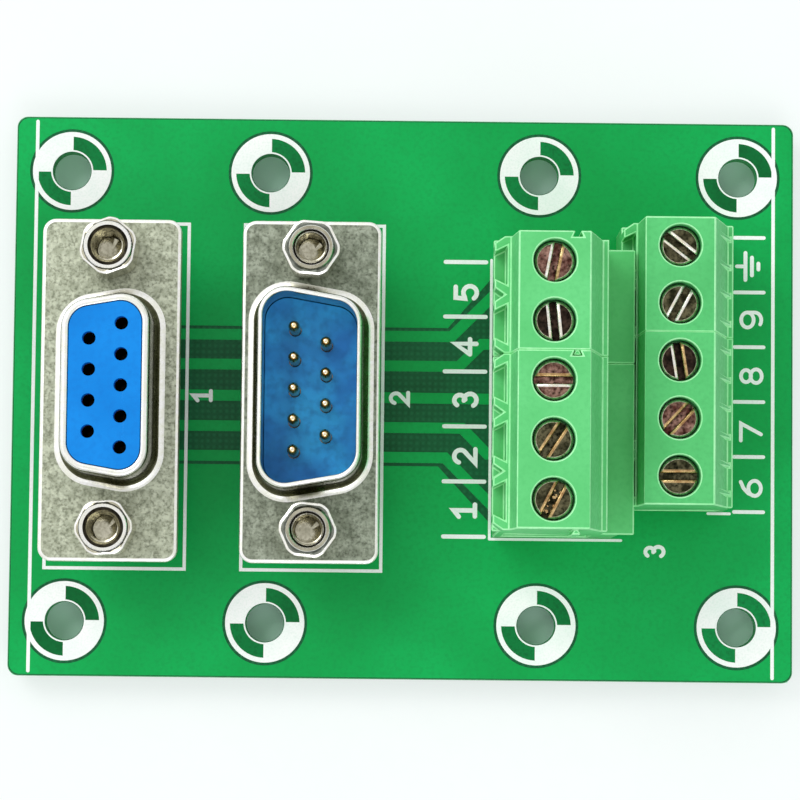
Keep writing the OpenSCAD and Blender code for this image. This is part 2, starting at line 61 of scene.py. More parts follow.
# Sizes that the CAD also has
BOARD_L, BOARD_W, BOARD_T = 72.0, 51.7, 1.6
HOLES = [(sx * x, sy * 20.8) for x in (30.85, 12.45) for sx in (-1, 1) for sy in (-1, 1)]
HOLE_R = 1.75
SOCKET, PLUG = (-26.3, -0.1), (-8.3, -0.1)
FLANGE_TOP, RIM = 9.95, 15.9
FLANGE_L, FLANGE_W, FLANGE_CORNER, SHELL_T = 30.8, 12.5, 1.2, 0.5
SOCKET_COLLAR, PLUG_COLLAR = (16.33, 7.9), (17.92, 9.36)
SOCKET_WALL, PLUG_WALL = 0.7, 0.5
COLLAR_CORNER, COLLAR_SLANT = 2.6, 10.0
PITCH, ROWS = 2.74, 2.84
JACK_Y, JACK_AF, JACK_H, STUD_D, STUD_L = 12.495, 4.76, 4.85, 2.84, 4.6
TALL_X, LOW_X, POLE = 12.76, 24.27, 5.08
PIN_X = -2.8
TALL_Y = [2 * POLE - i * POLE for i in range(5)]
LOW_Y = [y + POLE / 2 for y in TALL_Y]
TALL_NAMES, LOW_NAMES = ["5", "4", "3", "2", "1"], ["earth", "9", "8", "7", "6"]
TAIL_OUT = 1.8


def contacts(place, turn):
    """Places of the five and of the four contacts of a connector, the wide row first."""
    side = -1 if turn else 1
    five = [(place[0] + side * ROWS / 2, place[1] + i * PITCH) for i in (2, 1, 0, -1, -2)]
    four = [(place[0] - side * ROWS / 2, place[1] + i * PITCH) for i in (1.5, 0.5, -0.5, -1.5)]
    return five, four


# ---- materials ----

def linear(code):
    """A linear colour from an sRGB hex value."""
    parts = [int(code[i:i + 2], 16) / 255 for i in (1, 3, 5)]
    return [p / 12.92 if p <= 0.04045 else ((p + 0.055) / 1.055) ** 2.4 for p in parts] + [1.0]


def add(tree, kind, inputs=None, stops=(), **settings):
    """Adds a node with its settings; each input takes a value or a link, and stops fill a colour ramp."""
    node = tree.nodes.new(kind)
    for key, value in settings.items():
        setattr(node, key, value)
    for k, (place, colour) in enumerate(stops):
        element = node.color_ramp.elements[k] if k < 2 else node.color_ramp.elements.new(place)
        element.position, element.color = place, colour
    for key, value in (inputs or {}).items():
        if isinstance(value, bpy.types.NodeSocket):
            tree.links.new(value, node.inputs[key])
        else:
            node.inputs[key].default_value = value
    return node


METAL = {"Metallic": 1.0}
# Noise seldom leaves 0.3 to 0.7; these are the levels between which a pattern goes from none to full
PATCH_LEVELS, SPECK_LEVELS, GRAIN_LEVELS = (0.36, 0.64), (0.44, 0.72), (0.3, 0.7)
# A wave texture of scale 1 repeats after this length
WAVE_LENGTH = 0.314


def finish(name, tones, patch, speck, rough, relief, shader):
    """A surface of two close tones over patches, specks of a third, and roughness and relief from its grain.

    patch is the size of a patch in mm, speck is (size in mm, colour, share), rough is (least, most),
    relief is (size in mm, height in mm) and shader sets sockets that are the same all over.
    """
    material = bpy.data.materials.new(name)
    material.use_nodes = True
    tree = material.node_tree
    surface = tree.nodes["Principled BSDF"]
    for key, value in shader.items():
        surface.inputs[key].default_value = value
    where = add(tree, "ShaderNodeTexCoord")
    scaled = add(
        tree, "ShaderNodeVectorMath", {0: where.outputs["Object"], "Scale": 1 / MM}, operation="SCALE"
    )
    mm = scaled.outputs[0]
    cloud = add(tree, "ShaderNodeTexNoise", {"Vector": mm, "Scale": 1 / patch, "Detail": 3.0})
    tone = add(
        tree, "ShaderNodeValToRGB", {"Fac": cloud.outputs[0]},
        stops=[(level, linear(code)) for level, code in zip(PATCH_LEVELS, tones)],
    )
    size, spot, share = speck
    grit = add(tree, "ShaderNodeTexNoise", {"Vector": mm, "Scale": 1 / size, "Detail": 2.5})
    amount = add(
        tree, "ShaderNodeMapRange",
        {
            "Value": grit.outputs[0], "From Min": SPECK_LEVELS[0], "From Max": SPECK_LEVELS[1],
            "To Min": 0.0, "To Max": share,
        },
    )
    colour = add(
        tree, "ShaderNodeMix", {0: amount.outputs[0], 6: tone.outputs[0], 7: linear(spot)}, data_type="RGBA"
    )
    gloss = add(
        tree, "ShaderNodeMapRange",
        {
            "Value": grit.outputs[0], "From Min": GRAIN_LEVELS[0], "From Max": GRAIN_LEVELS[1],
            "To Min": rough[0], "To Max": rough[1],
        },
    )
    height = add(tree, "ShaderNodeTexNoise", {"Vector": mm, "Scale": 1 / relief[0], "Detail": 3.0})
    bump = add(
        tree, "ShaderNodeBump", {"Height": height.outputs[0], "Strength": 1.0, "Distance": relief[1] * MM}
    )
    tree.links.new(colour.outputs[2], surface.inputs["Base Color"])
    tree.links.new(gloss.outputs[0], surface.inputs["Roughness"])
    tree.links.new(bump.outputs[0], surface.inputs["Normal"])
    return material


def woven(material, pitch, height, shade):
    """Adds the crossing glass threads that show through a laminate: a grid of that pitch and height in mm.

    shade is (colour of a crossing, share).
    """
    tree = material.node_tree
    surface = tree.nodes["Principled BSDF"]
    where = add(tree, "ShaderNodeTexCoord")
    weave = None
    for axis in ("X", "Y"):
        wave = add(
            tree, "ShaderNodeTexWave",
            {
                "Vector": where.outputs["Object"], "Scale": WAVE_LENGTH / (pitch * MM),
                "Distortion": 0.6, "Detail": 1.0,
            },
            bands_direction=axis,
        )
        weave = wave if weave is None else add(
            tree, "ShaderNodeMath", {0: weave.outputs["Fac"], 1: wave.outputs["Fac"]}, operation="MULTIPLY"
        )
    plain = surface.inputs["Base Color"].links[0].from_socket
    lit = add(tree, "ShaderNodeMapRange", {"Value": weave.outputs[0], "To Min": 0.0, "To Max": shade[1]})
    colour = add(tree, "ShaderNodeMix", {0: lit.outputs[0], 6: plain, 7: linear(shade[0])}, data_type="RGBA")
    relief = surface.inputs["Normal"].links[0].from_socket
    bump = add(
        tree, "ShaderNodeBump",
        {"Height": weave.outputs[0], "Distance": height * MM, "Strength": 0.6, "Normal": relief},
    )
    tree.links.new(colour.outputs[2], surface.inputs["Base Color"])
    tree.links.new(bump.outputs[0], surface.inputs["Normal"])
    return material


# Glossy green solder mask, brighter where smooth copper lies under it
MASK_COPPER = finish(
    "solder_mask_over_copper", ("#049f4a", "#08ae55"), patch=14.0, speck=(0.35, "#088c43", 0.35),
    rough=(0.28, 0.42), relief=(0.6, 0.004), shader={"Specular IOR Level": 0.16},
)
# The same mask over the ring pads of the mounting holes, where light also comes through the laminate
MASK_RING = finish(
    "solder_mask_over_hole_rings", ("#045e2c", "#0a8a45"), patch=22.0, speck=(0.3, "#054a24", 0.4),
    rough=(0.28, 0.42), relief=(0.5, 0.004), shader={"Specular IOR Level": 0.12},
)
# The same mask over bare laminate: dark, with the glass threads just showing
MASK_BARE = woven(
    finish(
        "solder_mask_over_laminate", ("#065530", "#0a6038"), patch=5.0, speck=(0.3, "#044527", 0.4),
        rough=(0.3, 0.45), relief=(0.5, 0.004), shader={"Specular IOR Level": 0.2},
    ),
    pitch=0.55, height=0.006, shade=("#1c7848", 0.5),
)
# Glass-epoxy laminate where the router has cut it: matt, pale yellow green, with fibres
LAMINATE_EDGE = finish(
    "glass_epoxy_routed_edge", ("#1f8a4a", "#2f9e5b"), patch=1.6, speck=(0.16, "#6fbf86", 0.5),
    rough=(0.55, 0.8), relief=(0.12, 0.02), shader={},
)
# White epoxy ink, screen printed: slightly grainy, with thin places
INK = finish(
    "white_screen_printed_ink", ("#f2fbf7", "#fcfefd"), patch=3.0, speck=(0.18, "#d2e8dc", 0.35),
    rough=(0.45, 0.65), relief=(0.15, 0.004), shader={},
)
# Steel sheet with dull tin plate: mottled grey with fine crystal specks
TIN_PLATE = finish(
    "tin_plated_deep_drawn_steel", ("#a8ae99", "#cbd1bc"), patch=0.7, speck=(0.24, "#6e7360", 0.75),
    rough=(0.42, 0.6), relief=(0.35, 0.012), shader=METAL,
)
# The same plate from a greyer batch, on the plug
TIN_PLATE_GREY = finish(
    "tin_plated_steel_grey_batch", ("#828a79", "#a8b09f"), patch=0.8, speck=(0.24, "#585e50", 0.75),
    rough=(0.42, 0.6), relief=(0.35, 0.012), shader=METAL,
)
# The plate painted near white along cut edges, rims and the pressed step: a painted highlight
TIN_EDGE_HIGHLIGHT = finish(
    "tin_plate_edges_painted_highlight", ("#f8f9ee", "#ffffff"), patch=0.9, speck=(0.25, "#d8dac6", 0.35),
    rough=(0.26, 0.4), relief=(0.3, 0.004), shader=METAL,
)
# The drawn outside of a collar, painted dark olive as shade, so that the board's green shows only dimly in it
TIN_COLLAR_SHADE = finish(
    "tin_plate_collar_painted_shade", ("#5a5c42", "#72745a"), patch=1.6, speck=(0.3, "#33351f", 0.6),
    rough=(0.22, 0.36), relief=(0.3, 0.006), shader=METAL,
)
# The inside of a collar, glossier than the flange and painted lighter, so that it throws more light into the
# shaded recess
TIN_INSIDE_LIGHTER = finish(
    "tin_plate_inside_painted_lighter", ("#bcc6c2", "#d3dbd6"), patch=1.6, speck=(0.3, "#939c98", 0.4),
    rough=(0.14, 0.24), relief=(0.3, 0.004), shader=METAL,
)
# Turned brass with bright nickel: clean reflections, warm grey, faint tool lines
NICKEL = finish(
    "nickel_plated_turned_brass", ("#b3af9a", "#d0ccb8"), patch=1.5, speck=(0.25, "#8b8770", 0.4),
    rough=(0.12, 0.24), relief=(0.2, 0.004), shader=METAL,
)
# The nickel on sharp turned corners, painted white as a highlight
NICKEL_EDGE_HIGHLIGHT = finish(
    "nickel_corners_painted_highlight", ("#fbfaf0", "#ffffff"), patch=0.8, speck=(0.2, "#dad8c6", 0.3),
    rough=(0.2, 0.34), relief=(0.2, 0.003), shader=METAL,
)
# The nickel on a chamfer, painted dull grey as shade
NICKEL_GREY_SHADE = finish(
    "nickel_chamfer_painted_shade", ("#6f736a", "#8f938a"), patch=0.9, speck=(0.2, "#4c5048", 0.5),
    rough=(0.24, 0.4), relief=(0.2, 0.004), shader=METAL,
)
# Countersinks and first threads, painted near black as the shade in them
DARK_SHADE_GROOVE = finish(
    "turned_groove_painted_shade", ("#1c1a14", "#38342a"), patch=0.6, speck=(0.2, "#0c0b08", 0.5),
    rough=(0.3, 0.5), relief=(0.2, 0.004), shader=METAL,
)
# Bright blue polyester, moulded: satin, very even
SOCKET_BLUE = finish(
    "azure_polyester_moulded", ("#0b80da", "#1189e4"), patch=6.0, speck=(0.5, "#0a74cc", 0.35),
    rough=(0.36, 0.5), relief=(0.3, 0.003), shader={"Specular IOR Level": 0.12},
)
# Blue polyester at the bottom of the plug, painted lighter to make up for the shade in its deep collar:
# satin, with cloudy flow marks
PLUG_BLUE_LIGHTENED = finish(
    "blue_polyester_painted_lighter", ("#187acd", "#29a6f0"), patch=4.2, speck=(0.8, "#1663ad", 0.5),
    rough=(0.34, 0.48), relief=(0.35, 0.004), shader={"Specular IOR Level": 0.3},
)
# Thin gold over brass, turned: warm and bright
GOLD = finish(
    "gold_flashed_turned_brass", ("#b98f42", "#e0bf78"), patch=0.9, speck=(0.2, "#85602a", 0.35),
    rough=(0.14, 0.26), relief=(0.2, 0.003), shader=METAL,
)
# The same gold painted near white on the very tip: a painted highlight
GOLD_TIP_HIGHLIGHT = finish(
    "gold_pin_tip_painted_highlight", ("#fff0c8", "#fffaf0"), patch=0.6, speck=(0.2, "#f0d89a", 0.3),
    rough=(0.1, 0.2), relief=(0.2, 0.002), shader=METAL,
)
# Spring sleeves deep in the socket, painted near black for the shade in their holes
SLEEVE_SHADE = finish(
    "spring_sleeves_painted_shade", ("#2a2015", "#3a2d1e"), patch=0.8, speck=(0.2, "#171009", 0.5),
    rough=(0.35, 0.55), relief=(0.2, 0.005), shader=METAL,
)
# Light green polyamide, moulded: satin, with a soft orange-peel skin
POLYAMIDE = finish(
    "light_green_polyamide_moulded", ("#5bc875", "#68d382"), patch=7.0, speck=(0.45, "#50bc6b", 0.35),
    rough=(0.4, 0.54), relief=(0.4, 0.006), shader={"Specular IOR Level": 0.3},
)
# The same polyamide on its moulded edges, painted paler as a highlight
POLYAMIDE_EDGE_HIGHLIGHT = finish(
    "green_polyamide_edges_painted_highlight", ("#98f2a9", "#b2fbbd"), patch=2.0, speck=(0.3, "#7fe093", 0.35),
    rough=(0.4, 0.55), relief=(0.25, 0.005), shader={"Specular IOR Level": 0.35},
)
# The same polyamide painted darker in the front tier, for the shade the tall tier throws on it
POLYAMIDE_SHADED = finish(
    "green_polyamide_painted_shade", ("#50bc6c", "#5ccb79"), patch=7.0, speck=(0.45, "#46ae60", 0.35),
    rough=(0.4, 0.54), relief=(0.4, 0.006), shader={"Specular IOR Level": 0.3},
)
# Zinc-plated screws with yellow passivation; each batch has aged to its own shade
SCREW_ROSE = finish(
    "passivated_steel_rose_brown", ("#5c3630", "#b08a7c"), patch=0.7, speck=(0.3, "#241610", 0.95),
    rough=(0.25, 0.5), relief=(0.2, 0.03), shader=METAL,
)
SCREW_OLIVE = finish(
    "passivated_steel_olive", ("#2e2e1e", "#726c52"), patch=0.8, speck=(0.3, "#10110a", 0.95),
    rough=(0.25, 0.5), relief=(0.2, 0.03), shader=METAL,
)
SCREW_BLACK = finish(
    "passivated_steel_near_black", ("#151310", "#4a3a32"), patch=0.9, speck=(0.3, "#080706", 0.8),
    rough=(0.25, 0.45), relief=(0.2, 0.03), shader=METAL,
)
# The same screws with the edges of the slot painted near white as a highlight
SCREW_EDGE_HIGHLIGHT = finish(
    "steel_slot_edges_painted_highlight", ("#fbf3de", "#ffffff"), patch=0.7, speck=(0.2, "#b9a880", 0.5),
    rough=(0.2, 0.36), relief=(0.2, 0.006), shader=METAL,
)
# The same screws where a slot's edge is rubbed tan
SCREW_TAN = finish(
    "rubbed_tan_passivation", ("#b08a5c", "#e6c890"), patch=0.7, speck=(0.2, "#6b4a2c", 0.6),
    rough=(0.22, 0.38), relief=(0.2, 0.008), shader=METAL,
)
# Their rims, painted pale as a ring of highlight
SCREW_RIM_HIGHLIGHT = finish(
    "steel_rims_painted_highlight", ("#cfc5a6", "#f2ecd8"), patch=0.6, speck=(0.2, "#5c5340", 0.75),
    rough=(0.24, 0.42), relief=(0.2, 0.01), shader=METAL,
)
# Brass cage with a thin nickel wash: pale gold, satin
CAGE_BRASS = finish(
    "nickel_washed_brass", ("#b9a878", "#cfc090"), patch=1.4, speck=(0.3, "#8e7c50", 0.5),
    rough=(0.28, 0.42), relief=(0.3, 0.006), shader=METAL,
)
# Copper strip, hot tinned: soft silver with streaks
TINNED_COPPER = finish(
    "hot_tinned_copper_strip", ("#bdbdb6", "#d6d6cf"), patch=1.8, speck=(0.4, "#93928a", 0.5),
    rough=(0.24, 0.4), relief=(0.5, 0.008), shader=METAL,
)
# Lead-free solder that has wetted a pad: bright, slightly frosted
SOLDER = finish(
    "frosted_tin_solder", ("#c6c7c4", "#e0e1de"), patch=0.7, speck=(0.2, "#9c9d9a", 0.5),
    rough=(0.18, 0.38), relief=(0.3, 0.012), shader=METAL,
)


# ---- outlines ----

# Steps of the round end of a line, and the cosine at which its mitres are cut short
CAP_STEPS, SHARPEST_MITRE = 6, 0.4


def arc(cx, cy, r, a0, a1, steps=10):
    """Points of an arc between two angles in degrees."""
    angles = [radians(a0 + (a1 - a0) * k / steps) for k in range(steps + 1)]
    return [(cx + r * cos(a), cy + r * sin(a)) for a in angles]


def circle(cx, cy, r, steps=48):
    """The loop of a circle."""
    return arc(cx, cy, r, 0, 360, steps)[:-1]


def rounded(l, w, r, steps=10):
    """The loop of a rectangle with round corners, its length along X."""
    x, y = l / 2 - r, w / 2 - r
    corners = [(x, y, 0), (-x, y, 90), (-x, -y, 180), (x, -y, 270)]
    return [p for cx, cy, a in corners for p in arc(cx, cy, r, a, a + 90, steps)]


def d_loop(l, w, r, steps=14):
    """The D outline, long way along Y and wide side towards +X."""
    wide, cx = l / 2 - r, w / 2 - r
    narrow = wide - 2 * cx * tan(radians(COLLAR_SLANT))
    s = COLLAR_SLANT
    return (
        arc(cx, wide, r, 0, 90 + s, steps) + arc(-cx, narrow, r, 90 + s, 180, steps)
        + arc(-cx, -narrow, r, 180, 270 - s, steps) + arc(cx, -wide, r, 270 - s, 360, steps)
    )


def put(points, place, turn=0.0):
    """Turns an outline about its middle by degrees and moves it to a place."""
    c, s = cos(radians(turn)), sin(radians(turn))
    return [(place[0] + c * x - s * y, place[1] + s * x + c * y) for x, y in points]


def ribbon(points, width, closed=False):
    """Outline loops of a line of that width, mitred at its corners and round at its ends."""
    half, n = width / 2, len(points)
    ahead = []
    for i in range(n if closed else n - 1):
        a, b = Vector(points[i]), Vector(points[(i + 1) % n])
        ahead.append((b - a).normalized())

    def side(sign):
        out = []
        for i, (x, y) in enumerate(points):
            before = ahead[i - 1] if closed or i else ahead[0]
            after = ahead[i] if i < len(ahead) else ahead[-1]
            first = Vector((-before.y, before.x))
            middle = (first + Vector((-after.y, after.x))).normalized()
            reach = sign * half / max(middle.dot(first), SHARPEST_MITRE)
            out.append((x + middle.x * reach, y + middle.y * reach))
        return out

    left, right = side(1), side(-1)
    if closed:
        return [right, left]
    start, end = (degrees(atan2(d.y, d.x)) for d in (ahead[0], ahead[-1]))
    tip = arc(*points[-1], half, end + 90, end - 90, CAP_STEPS)[1:-1]
    tail = arc(*points[0], half, start - 90, start - 270, CAP_STEPS)[1:-1]
    return [left + tip + right[::-1] + tail]


# ---- meshes ----

def ring(bm, points, z):
    """The vertices of an outline at a height."""
    return [bm.verts.new((x * MM, y * MM, z * MM)) for x, y in points]


def wall(bm, a, b, finish_index=0):
    """Faces of one finish between two rings; a ring of one point closes the end."""
    n = max(len(a), len(b))
    for i in range(n):
        j = (i + 1) % n
        if len(a) == 1:
            corners = (a[0], b[j], b[i])
        elif len(b) == 1:
            corners = (a[i], a[j], b[0])
        else:
            corners = (a[i], a[j], b[j], b[i])
        bm.faces.new(corners).material_index = finish_index


def fill(bm, loops):
    """Fills a flat outline, less the loops inside it."""
    edges = []
    for loop in loops:
        for i, v in enumerate(loop):
            w = loop[(i + 1) % len(loop)]
            edges.append(bm.edges.get((v, w)) or bm.edges.new((v, w)))
    return bmesh.ops.triangle_fill(bm, use_beauty=True, use_dissolve=False, edges=edges)["geom"]


def plate(bm, loops, z0, z1):
    """A flat plate from its outline and holes, between two heights."""
    low, high = ([ring(bm, loop, z) for loop in loops] for z in (z0, z1))
    for a, b in zip(low, high):
        wall(bm, a, b)
    fill(bm, low)
    fill(bm, high)


def lathe(bm, profile, steps=24, place=(0, 0)):
    """Turns (radius, height) points about an upright line; a zero radius closes the end."""
    rings = [ring(bm, circle(*place, r, steps) if r else [place], z) for r, z in profile]
    for a, b in zip(rings, rings[1:]):
        wall(bm, a, b)


def show(name, mesh, slot, body="adapter", stands_for=(), smooth=32.0):
    """Puts a finished mesh in the scene on its body; an edge past smooth degrees stays sharp."""
    mesh.shade_smooth()
    if smooth:
        mesh.set_sharp_from_angle(angle=radians(smooth))
    made = bpy.data.objects.new(name, mesh)
    bpy.context.scene.collection.objects.link(made)
    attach(made, body)
    if stands_for:
        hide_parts(*stands_for)
    return made


def built(bm, name, finishes, slot, **where):
    """Closes off a bmesh as a piece with its materials."""
    bmesh.ops.recalc_face_normals(bm, faces=bm.faces)
    mesh = bpy.data.meshes.new(name)
    bm.to_mesh(mesh)
    bm.free()
    for material in finishes:
        mesh.materials.append(material)
    return show(name, mesh, slot, **where)


def evaluated(thing):
    """The plain mesh of an object with its modifiers applied; the object itself is removed."""
    bpy.context.view_layer.update()
    seen_by = bpy.context.evaluated_depsgraph_get()
    mesh = bpy.data.meshes.new_from_object(thing.evaluated_get(seen_by))
    bpy.data.objects.remove(thing)
    return mesh


# Points of a CAD copy closer than this are one, faces within the first angle are one, and edges past
# the second are rounded
MERGE, FLAT_ANGLE, EDGE_ANGLE = 0.001, 0.5, 35.0


def softened(node, width, finishes, slot, body="adapter", name=None, clamp=True):
    """A copy of a CAD node, its facets merged and its edges rounded, the rounding in the last material."""
    bm = bmesh.new()
    bm.from_mesh(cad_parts[node].data)
    bmesh.ops.remove_doubles(bm, verts=bm.verts, dist=MERGE * MM)
    bmesh.ops.dissolve_limit(bm, angle_limit=radians(FLAT_ANGLE), verts=bm.verts, edges=bm.edges)
    mesh = bpy.data.meshes.new(node)
    bm.to_mesh(mesh)
    bm.free()
    for layer in [a for a in mesh.attributes if a.name == "custom_normal"]:
        mesh.attributes.remove(layer)
    mesh.materials.clear()
    for material in finishes:
        mesh.materials.append(material)
    mesh.polygons.foreach_set("material_index", [0] * len(mesh.polygons))
    mesh.shade_smooth()
    raw = bpy.data.objects.new("raw", mesh)
    bpy.context.scene.collection.objects.link(raw)
    edges = raw.modifiers.new("edges", "BEVEL")
    edges.width, edges.segments, edges.use_clamp_overlap = width * MM, 2, clamp
    edges.limit_method, edges.angle_limit = "ANGLE", radians(EDGE_ANGLE)
    edges.material = len(finishes) - 1
    raw.modifiers.new("flat_faces_first", "WEIGHTED_NORMAL")
    return show(name or node + "_moulded", evaluated(raw), slot, body, (node,), smooth=None)


def repeated(
    name, shape, places, material, slot, body="adapter", spin=0.0, spread=0.0, seed=1, **where
):
    """Geometry Nodes set a shape at each place, turned by up to spin either way and sized by up to spread."""
    shape_mesh = bpy.data.meshes.new("shape")
    bmesh.ops.recalc_face_normals(shape, faces=shape.faces)
    shape.to_mesh(shape_mesh)
    shape.free()
    model = bpy.data.objects.new("shape", shape_mesh)
    spots_mesh = bpy.data.meshes.new(name + "_spots")
    spots_mesh.from_pydata([(x * MM, y * MM, z * MM) for x, y, z in places], [], [])
    spots = bpy.data.objects.new(name + "_spots", spots_mesh)
    for thing in (model, spots):
        bpy.context.scene.collection.objects.link(thing)

    tree = bpy.data.node_groups.new(name + "_layout", "GeometryNodeTree")
    made = {}
    for label, kind in (
        ("Geometry", "Geometry"), ("Shape", "Object"), ("Spin", "Float"), ("Spread", "Float"),
        ("Seed", "Int"), ("Finish", "Material"),
    ):
        made[label] = tree.interface.new_socket(label, in_out="INPUT", socket_type="NodeSocket" + kind)
    tree.interface.new_socket("Geometry", in_out="OUTPUT", socket_type="NodeSocketGeometry")
    inlet = add(tree, "NodeGroupInput").outputs
    half_turn = add(tree, "ShaderNodeMath", {0: inlet["Spin"], 1: -1.0}, operation="MULTIPLY")
    turn = add(
        tree, "FunctionNodeRandomValue", {2: half_turn.outputs[0], 3: inlet["Spin"], 8: inlet["Seed"]},
        data_type="FLOAT",
    )
    least = add(tree, "ShaderNodeMath", {0: 1.0, 1: inlet["Spread"]}, operation="SUBTRACT")
    most = add(tree, "ShaderNodeMath", {0: 1.0, 1: inlet["Spread"]}, operation="ADD")
    size = add(
        tree, "FunctionNodeRandomValue", {2: least.outputs[0], 3: most.outputs[0], 8: inlet["Seed"]},
        data_type="FLOAT",
    )
    angles = add(tree, "ShaderNodeCombineXYZ", {"Z": turn.outputs[1]})
    info = add(tree, "GeometryNodeObjectInfo", {"Object": inlet["Shape"]})
    points = add(tree, "GeometryNodeMeshToPoints", {"Mesh": inlet["Geometry"]})
    copies = add(
        tree, "GeometryNodeInstanceOnPoints",
        {
            "Points": points.outputs[0], "Instance": info.outputs["Geometry"],
            "Rotation": angles.outputs[0], "Scale": size.outputs[1],
        },
    )
    real = add(tree, "GeometryNodeRealizeInstances", {"Geometry": copies.outputs[0]})
    coated = add(
        tree, "GeometryNodeSetMaterial", {"Geometry": real.outputs[0], "Material": inlet["Finish"]}
    )
    add(tree, "NodeGroupOutput", {"Geometry": coated.outputs[0]})
    layout = spots.modifiers.new("layout", "NODES")
    layout.node_group = tree
    for label, value in (
        ("Shape", model), ("Spin", spin), ("Spread", spread), ("Seed", seed), ("Finish", material)
    ):
        layout[made[label].identifier] = value
    mesh = evaluated(spots)
    bpy.data.objects.remove(model)
    return show(name, mesh, slot, body, **where)


# ---- circuit board ----

# Copper with its mask, and the ink on it
MASK_T, INK_T = 0.035, 0.02
TOP, INK_TOP = BOARD_T + MASK_T, BOARD_T + MASK_T + INK_T
TRACK_W, CLEAR = 1.0, 0.3
# The printed mark round a mounting hole, and the copper's edge round it on the top and underneath
MARK_R, MARK_CLEAR_R, UNDER_CLEAR_R = 3.64, 3.9, 3.3
TAIL_HOLE_R, PIN_HOLE_R, PRONG_HOLE_R = 0.55, 0.75, 1.6
PIN_CLEAR_R, PRONG_CLEAR_R = 1.5, 2.7
CORNER_R, EDGE_CUT = 1.0, 0.08
# The copper stays this far inside the board's edge, and flat pieces sink this far into what they lie on
POUR_INSET, SINK = 0.15, 0.01

socket_five, socket_four = contacts(SOCKET, 0)
plug_five, plug_four = contacts(PLUG, 180)
tails = socket_five + socket_four + plug_five + plug_four
tall_pins = [(TALL_X + PIN_X, y) for y in TALL_Y]
low_pins = [(LOW_X + PIN_X, y) for y in LOW_Y]
prongs = [(x, y + s * JACK_Y) for x, y in (SOCKET, PLUG) for s in (-1, 1)]

board = bmesh.new()
bores = [circle(x, y, HOLE_R) for x, y in HOLES] + [circle(x, y, TAIL_HOLE_R, 20) for x, y in tails]
bores += [circle(x, y, PIN_HOLE_R, 24) for x, y in tall_pins + low_pins]
bores += [circle(x, y, PRONG_HOLE_R, 32) for x, y in prongs]
levels = []
for inset, z in ((EDGE_CUT, 0.0), (0.0, EDGE_CUT), (0.0, BOARD_T - EDGE_CUT), (EDGE_CUT, BOARD_T)):
    outline = rounded(BOARD_L - 2 * inset, BOARD_W - 2 * inset, CORNER_R - inset)
    levels.append([ring(board, loop, z) for loop in [outline] + bores])
for lower, upper in zip(levels, levels[1:]):
    for a, b in zip(lower, upper):
        wall(board, a, b)
fill(board, levels[0])
fill(board, levels[-1])
laminate = built(
    board, "board_laminate", [MASK_BARE, LAMINATE_EDGE], "board", stands_for=("circuit_board",), smooth=25.0
)
for face in laminate.data.polygons:
    level = abs(face.normal.z) > 0.9
    face.material_index = 0 if level else 1

# Tracks on the top side run from contacts 1 to 5 of the socket through the plug to the tall tier
TOP_ROUTES = [
    [(-24.9, 5.75), (4.45, 5.75), (8.85, 10.16), (9.96, 10.16)],
    [(-24.9, 2.99), (5.15, 2.99), (7.25, 5.08), (9.96, 5.08)],
    [(-24.9, 0.14), (9.96, 0.0)],
    [(-24.9, -2.71), (5.5, -2.71), (7.85, -5.08), (9.96, -5.08)],
    [(-24.9, -5.46), (3.95, -5.46), (8.65, -10.16), (9.96, -10.16)],
]
REACH = TRACK_W / 2 + CLEAR
# The gap in the copper that holds them follows the outer two
top_channel = [
    (-29.6, 5.75 + REACH), (4.45 - 0.33, 5.75 + REACH), (8.85 - 0.33, 10.16 + REACH + 0.7),
    (11.6, 10.16 + REACH + 0.7), (11.6, -10.16 - REACH - 0.7), (8.65 - 0.33, -10.16 - REACH - 0.7),
    (3.95 - 0.63, -5.46 - REACH), (-29.6, -5.46 - REACH),
]
# Tracks on the underside run from contacts 6 to 9 to the low tier
UNDER_ROUTES = [
    [(-27.7, 4.01), (12.6, 4.01), (16.2, 7.62), (21.47, 7.62)],
    [(-27.7, 1.27), (13.2, 1.27), (14.5, 2.54), (21.47, 2.54)],
    [(-27.7, -1.47), (13.2, -1.47), (14.3, -2.54), (21.47, -2.54)],
    [(-27.7, -4.21), (12.8, -4.21), (16.2, -7.62), (21.47, -7.62)],
]
under_channel = [
    (-29.6, 6.9), (12.3, 6.9), (14.6, 9.2), (23.0, 9.2),
    (23.0, -9.2), (14.6, -9.2), (12.3, -6.9), (-29.6, -6.9),
]
# Both pours join the earth pin and keep clear of the other pins
pour = rounded(BOARD_L - 2 * POUR_INSET, BOARD_W - 2 * POUR_INSET, 0.95)
earth_pin = circle(*low_pins[0], PIN_HOLE_R, 24)
clear_prongs = [circle(x, y, PRONG_CLEAR_R, 40) for x, y in prongs]
top_pour = [pour, top_channel] + [circle(x, y, MARK_CLEAR_R, 64) for x, y in HOLES] + clear_prongs
top_pour += [circle(x, y, PIN_CLEAR_R, 32) for x, y in low_pins[1:]] + [earth_pin]
under_pour = [pour, under_channel] + [circle(x, y, UNDER_CLEAR_R, 64) for x, y in HOLES] + clear_prongs
under_pour += [circle(x, y, PIN_CLEAR_R, 32) for x, y in (tall_pins[0], tall_pins[4])] + [earth_pin]
for side, loops, routes, z0, z1 in (
    ("top", top_pour, TOP_ROUTES, BOARD_T - SINK, TOP), ("under", under_pour, UNDER_ROUTES, -MASK_T, SINK)
):
    copper = bmesh.new()
    plate(copper, loops, z0, z1)
    for route in routes:
        plate(copper, ribbon(route, TRACK_W), z0, z1)
    built(copper, "copper_" + side, [MASK_COPPER], "board")
rings = bmesh.new()
for x, y in HOLES:
    # Just inside the printed mark, and a little lower than it
    plate(rings, [circle(x, y, MARK_R - 0.1, 64), circle(x, y, HOLE_R + 0.1)], BOARD_T - SINK, TOP - 0.012)
built(rings, "hole_ring_pads", [MASK_RING], "board")

# ---- white print ----

STROKE = 0.42
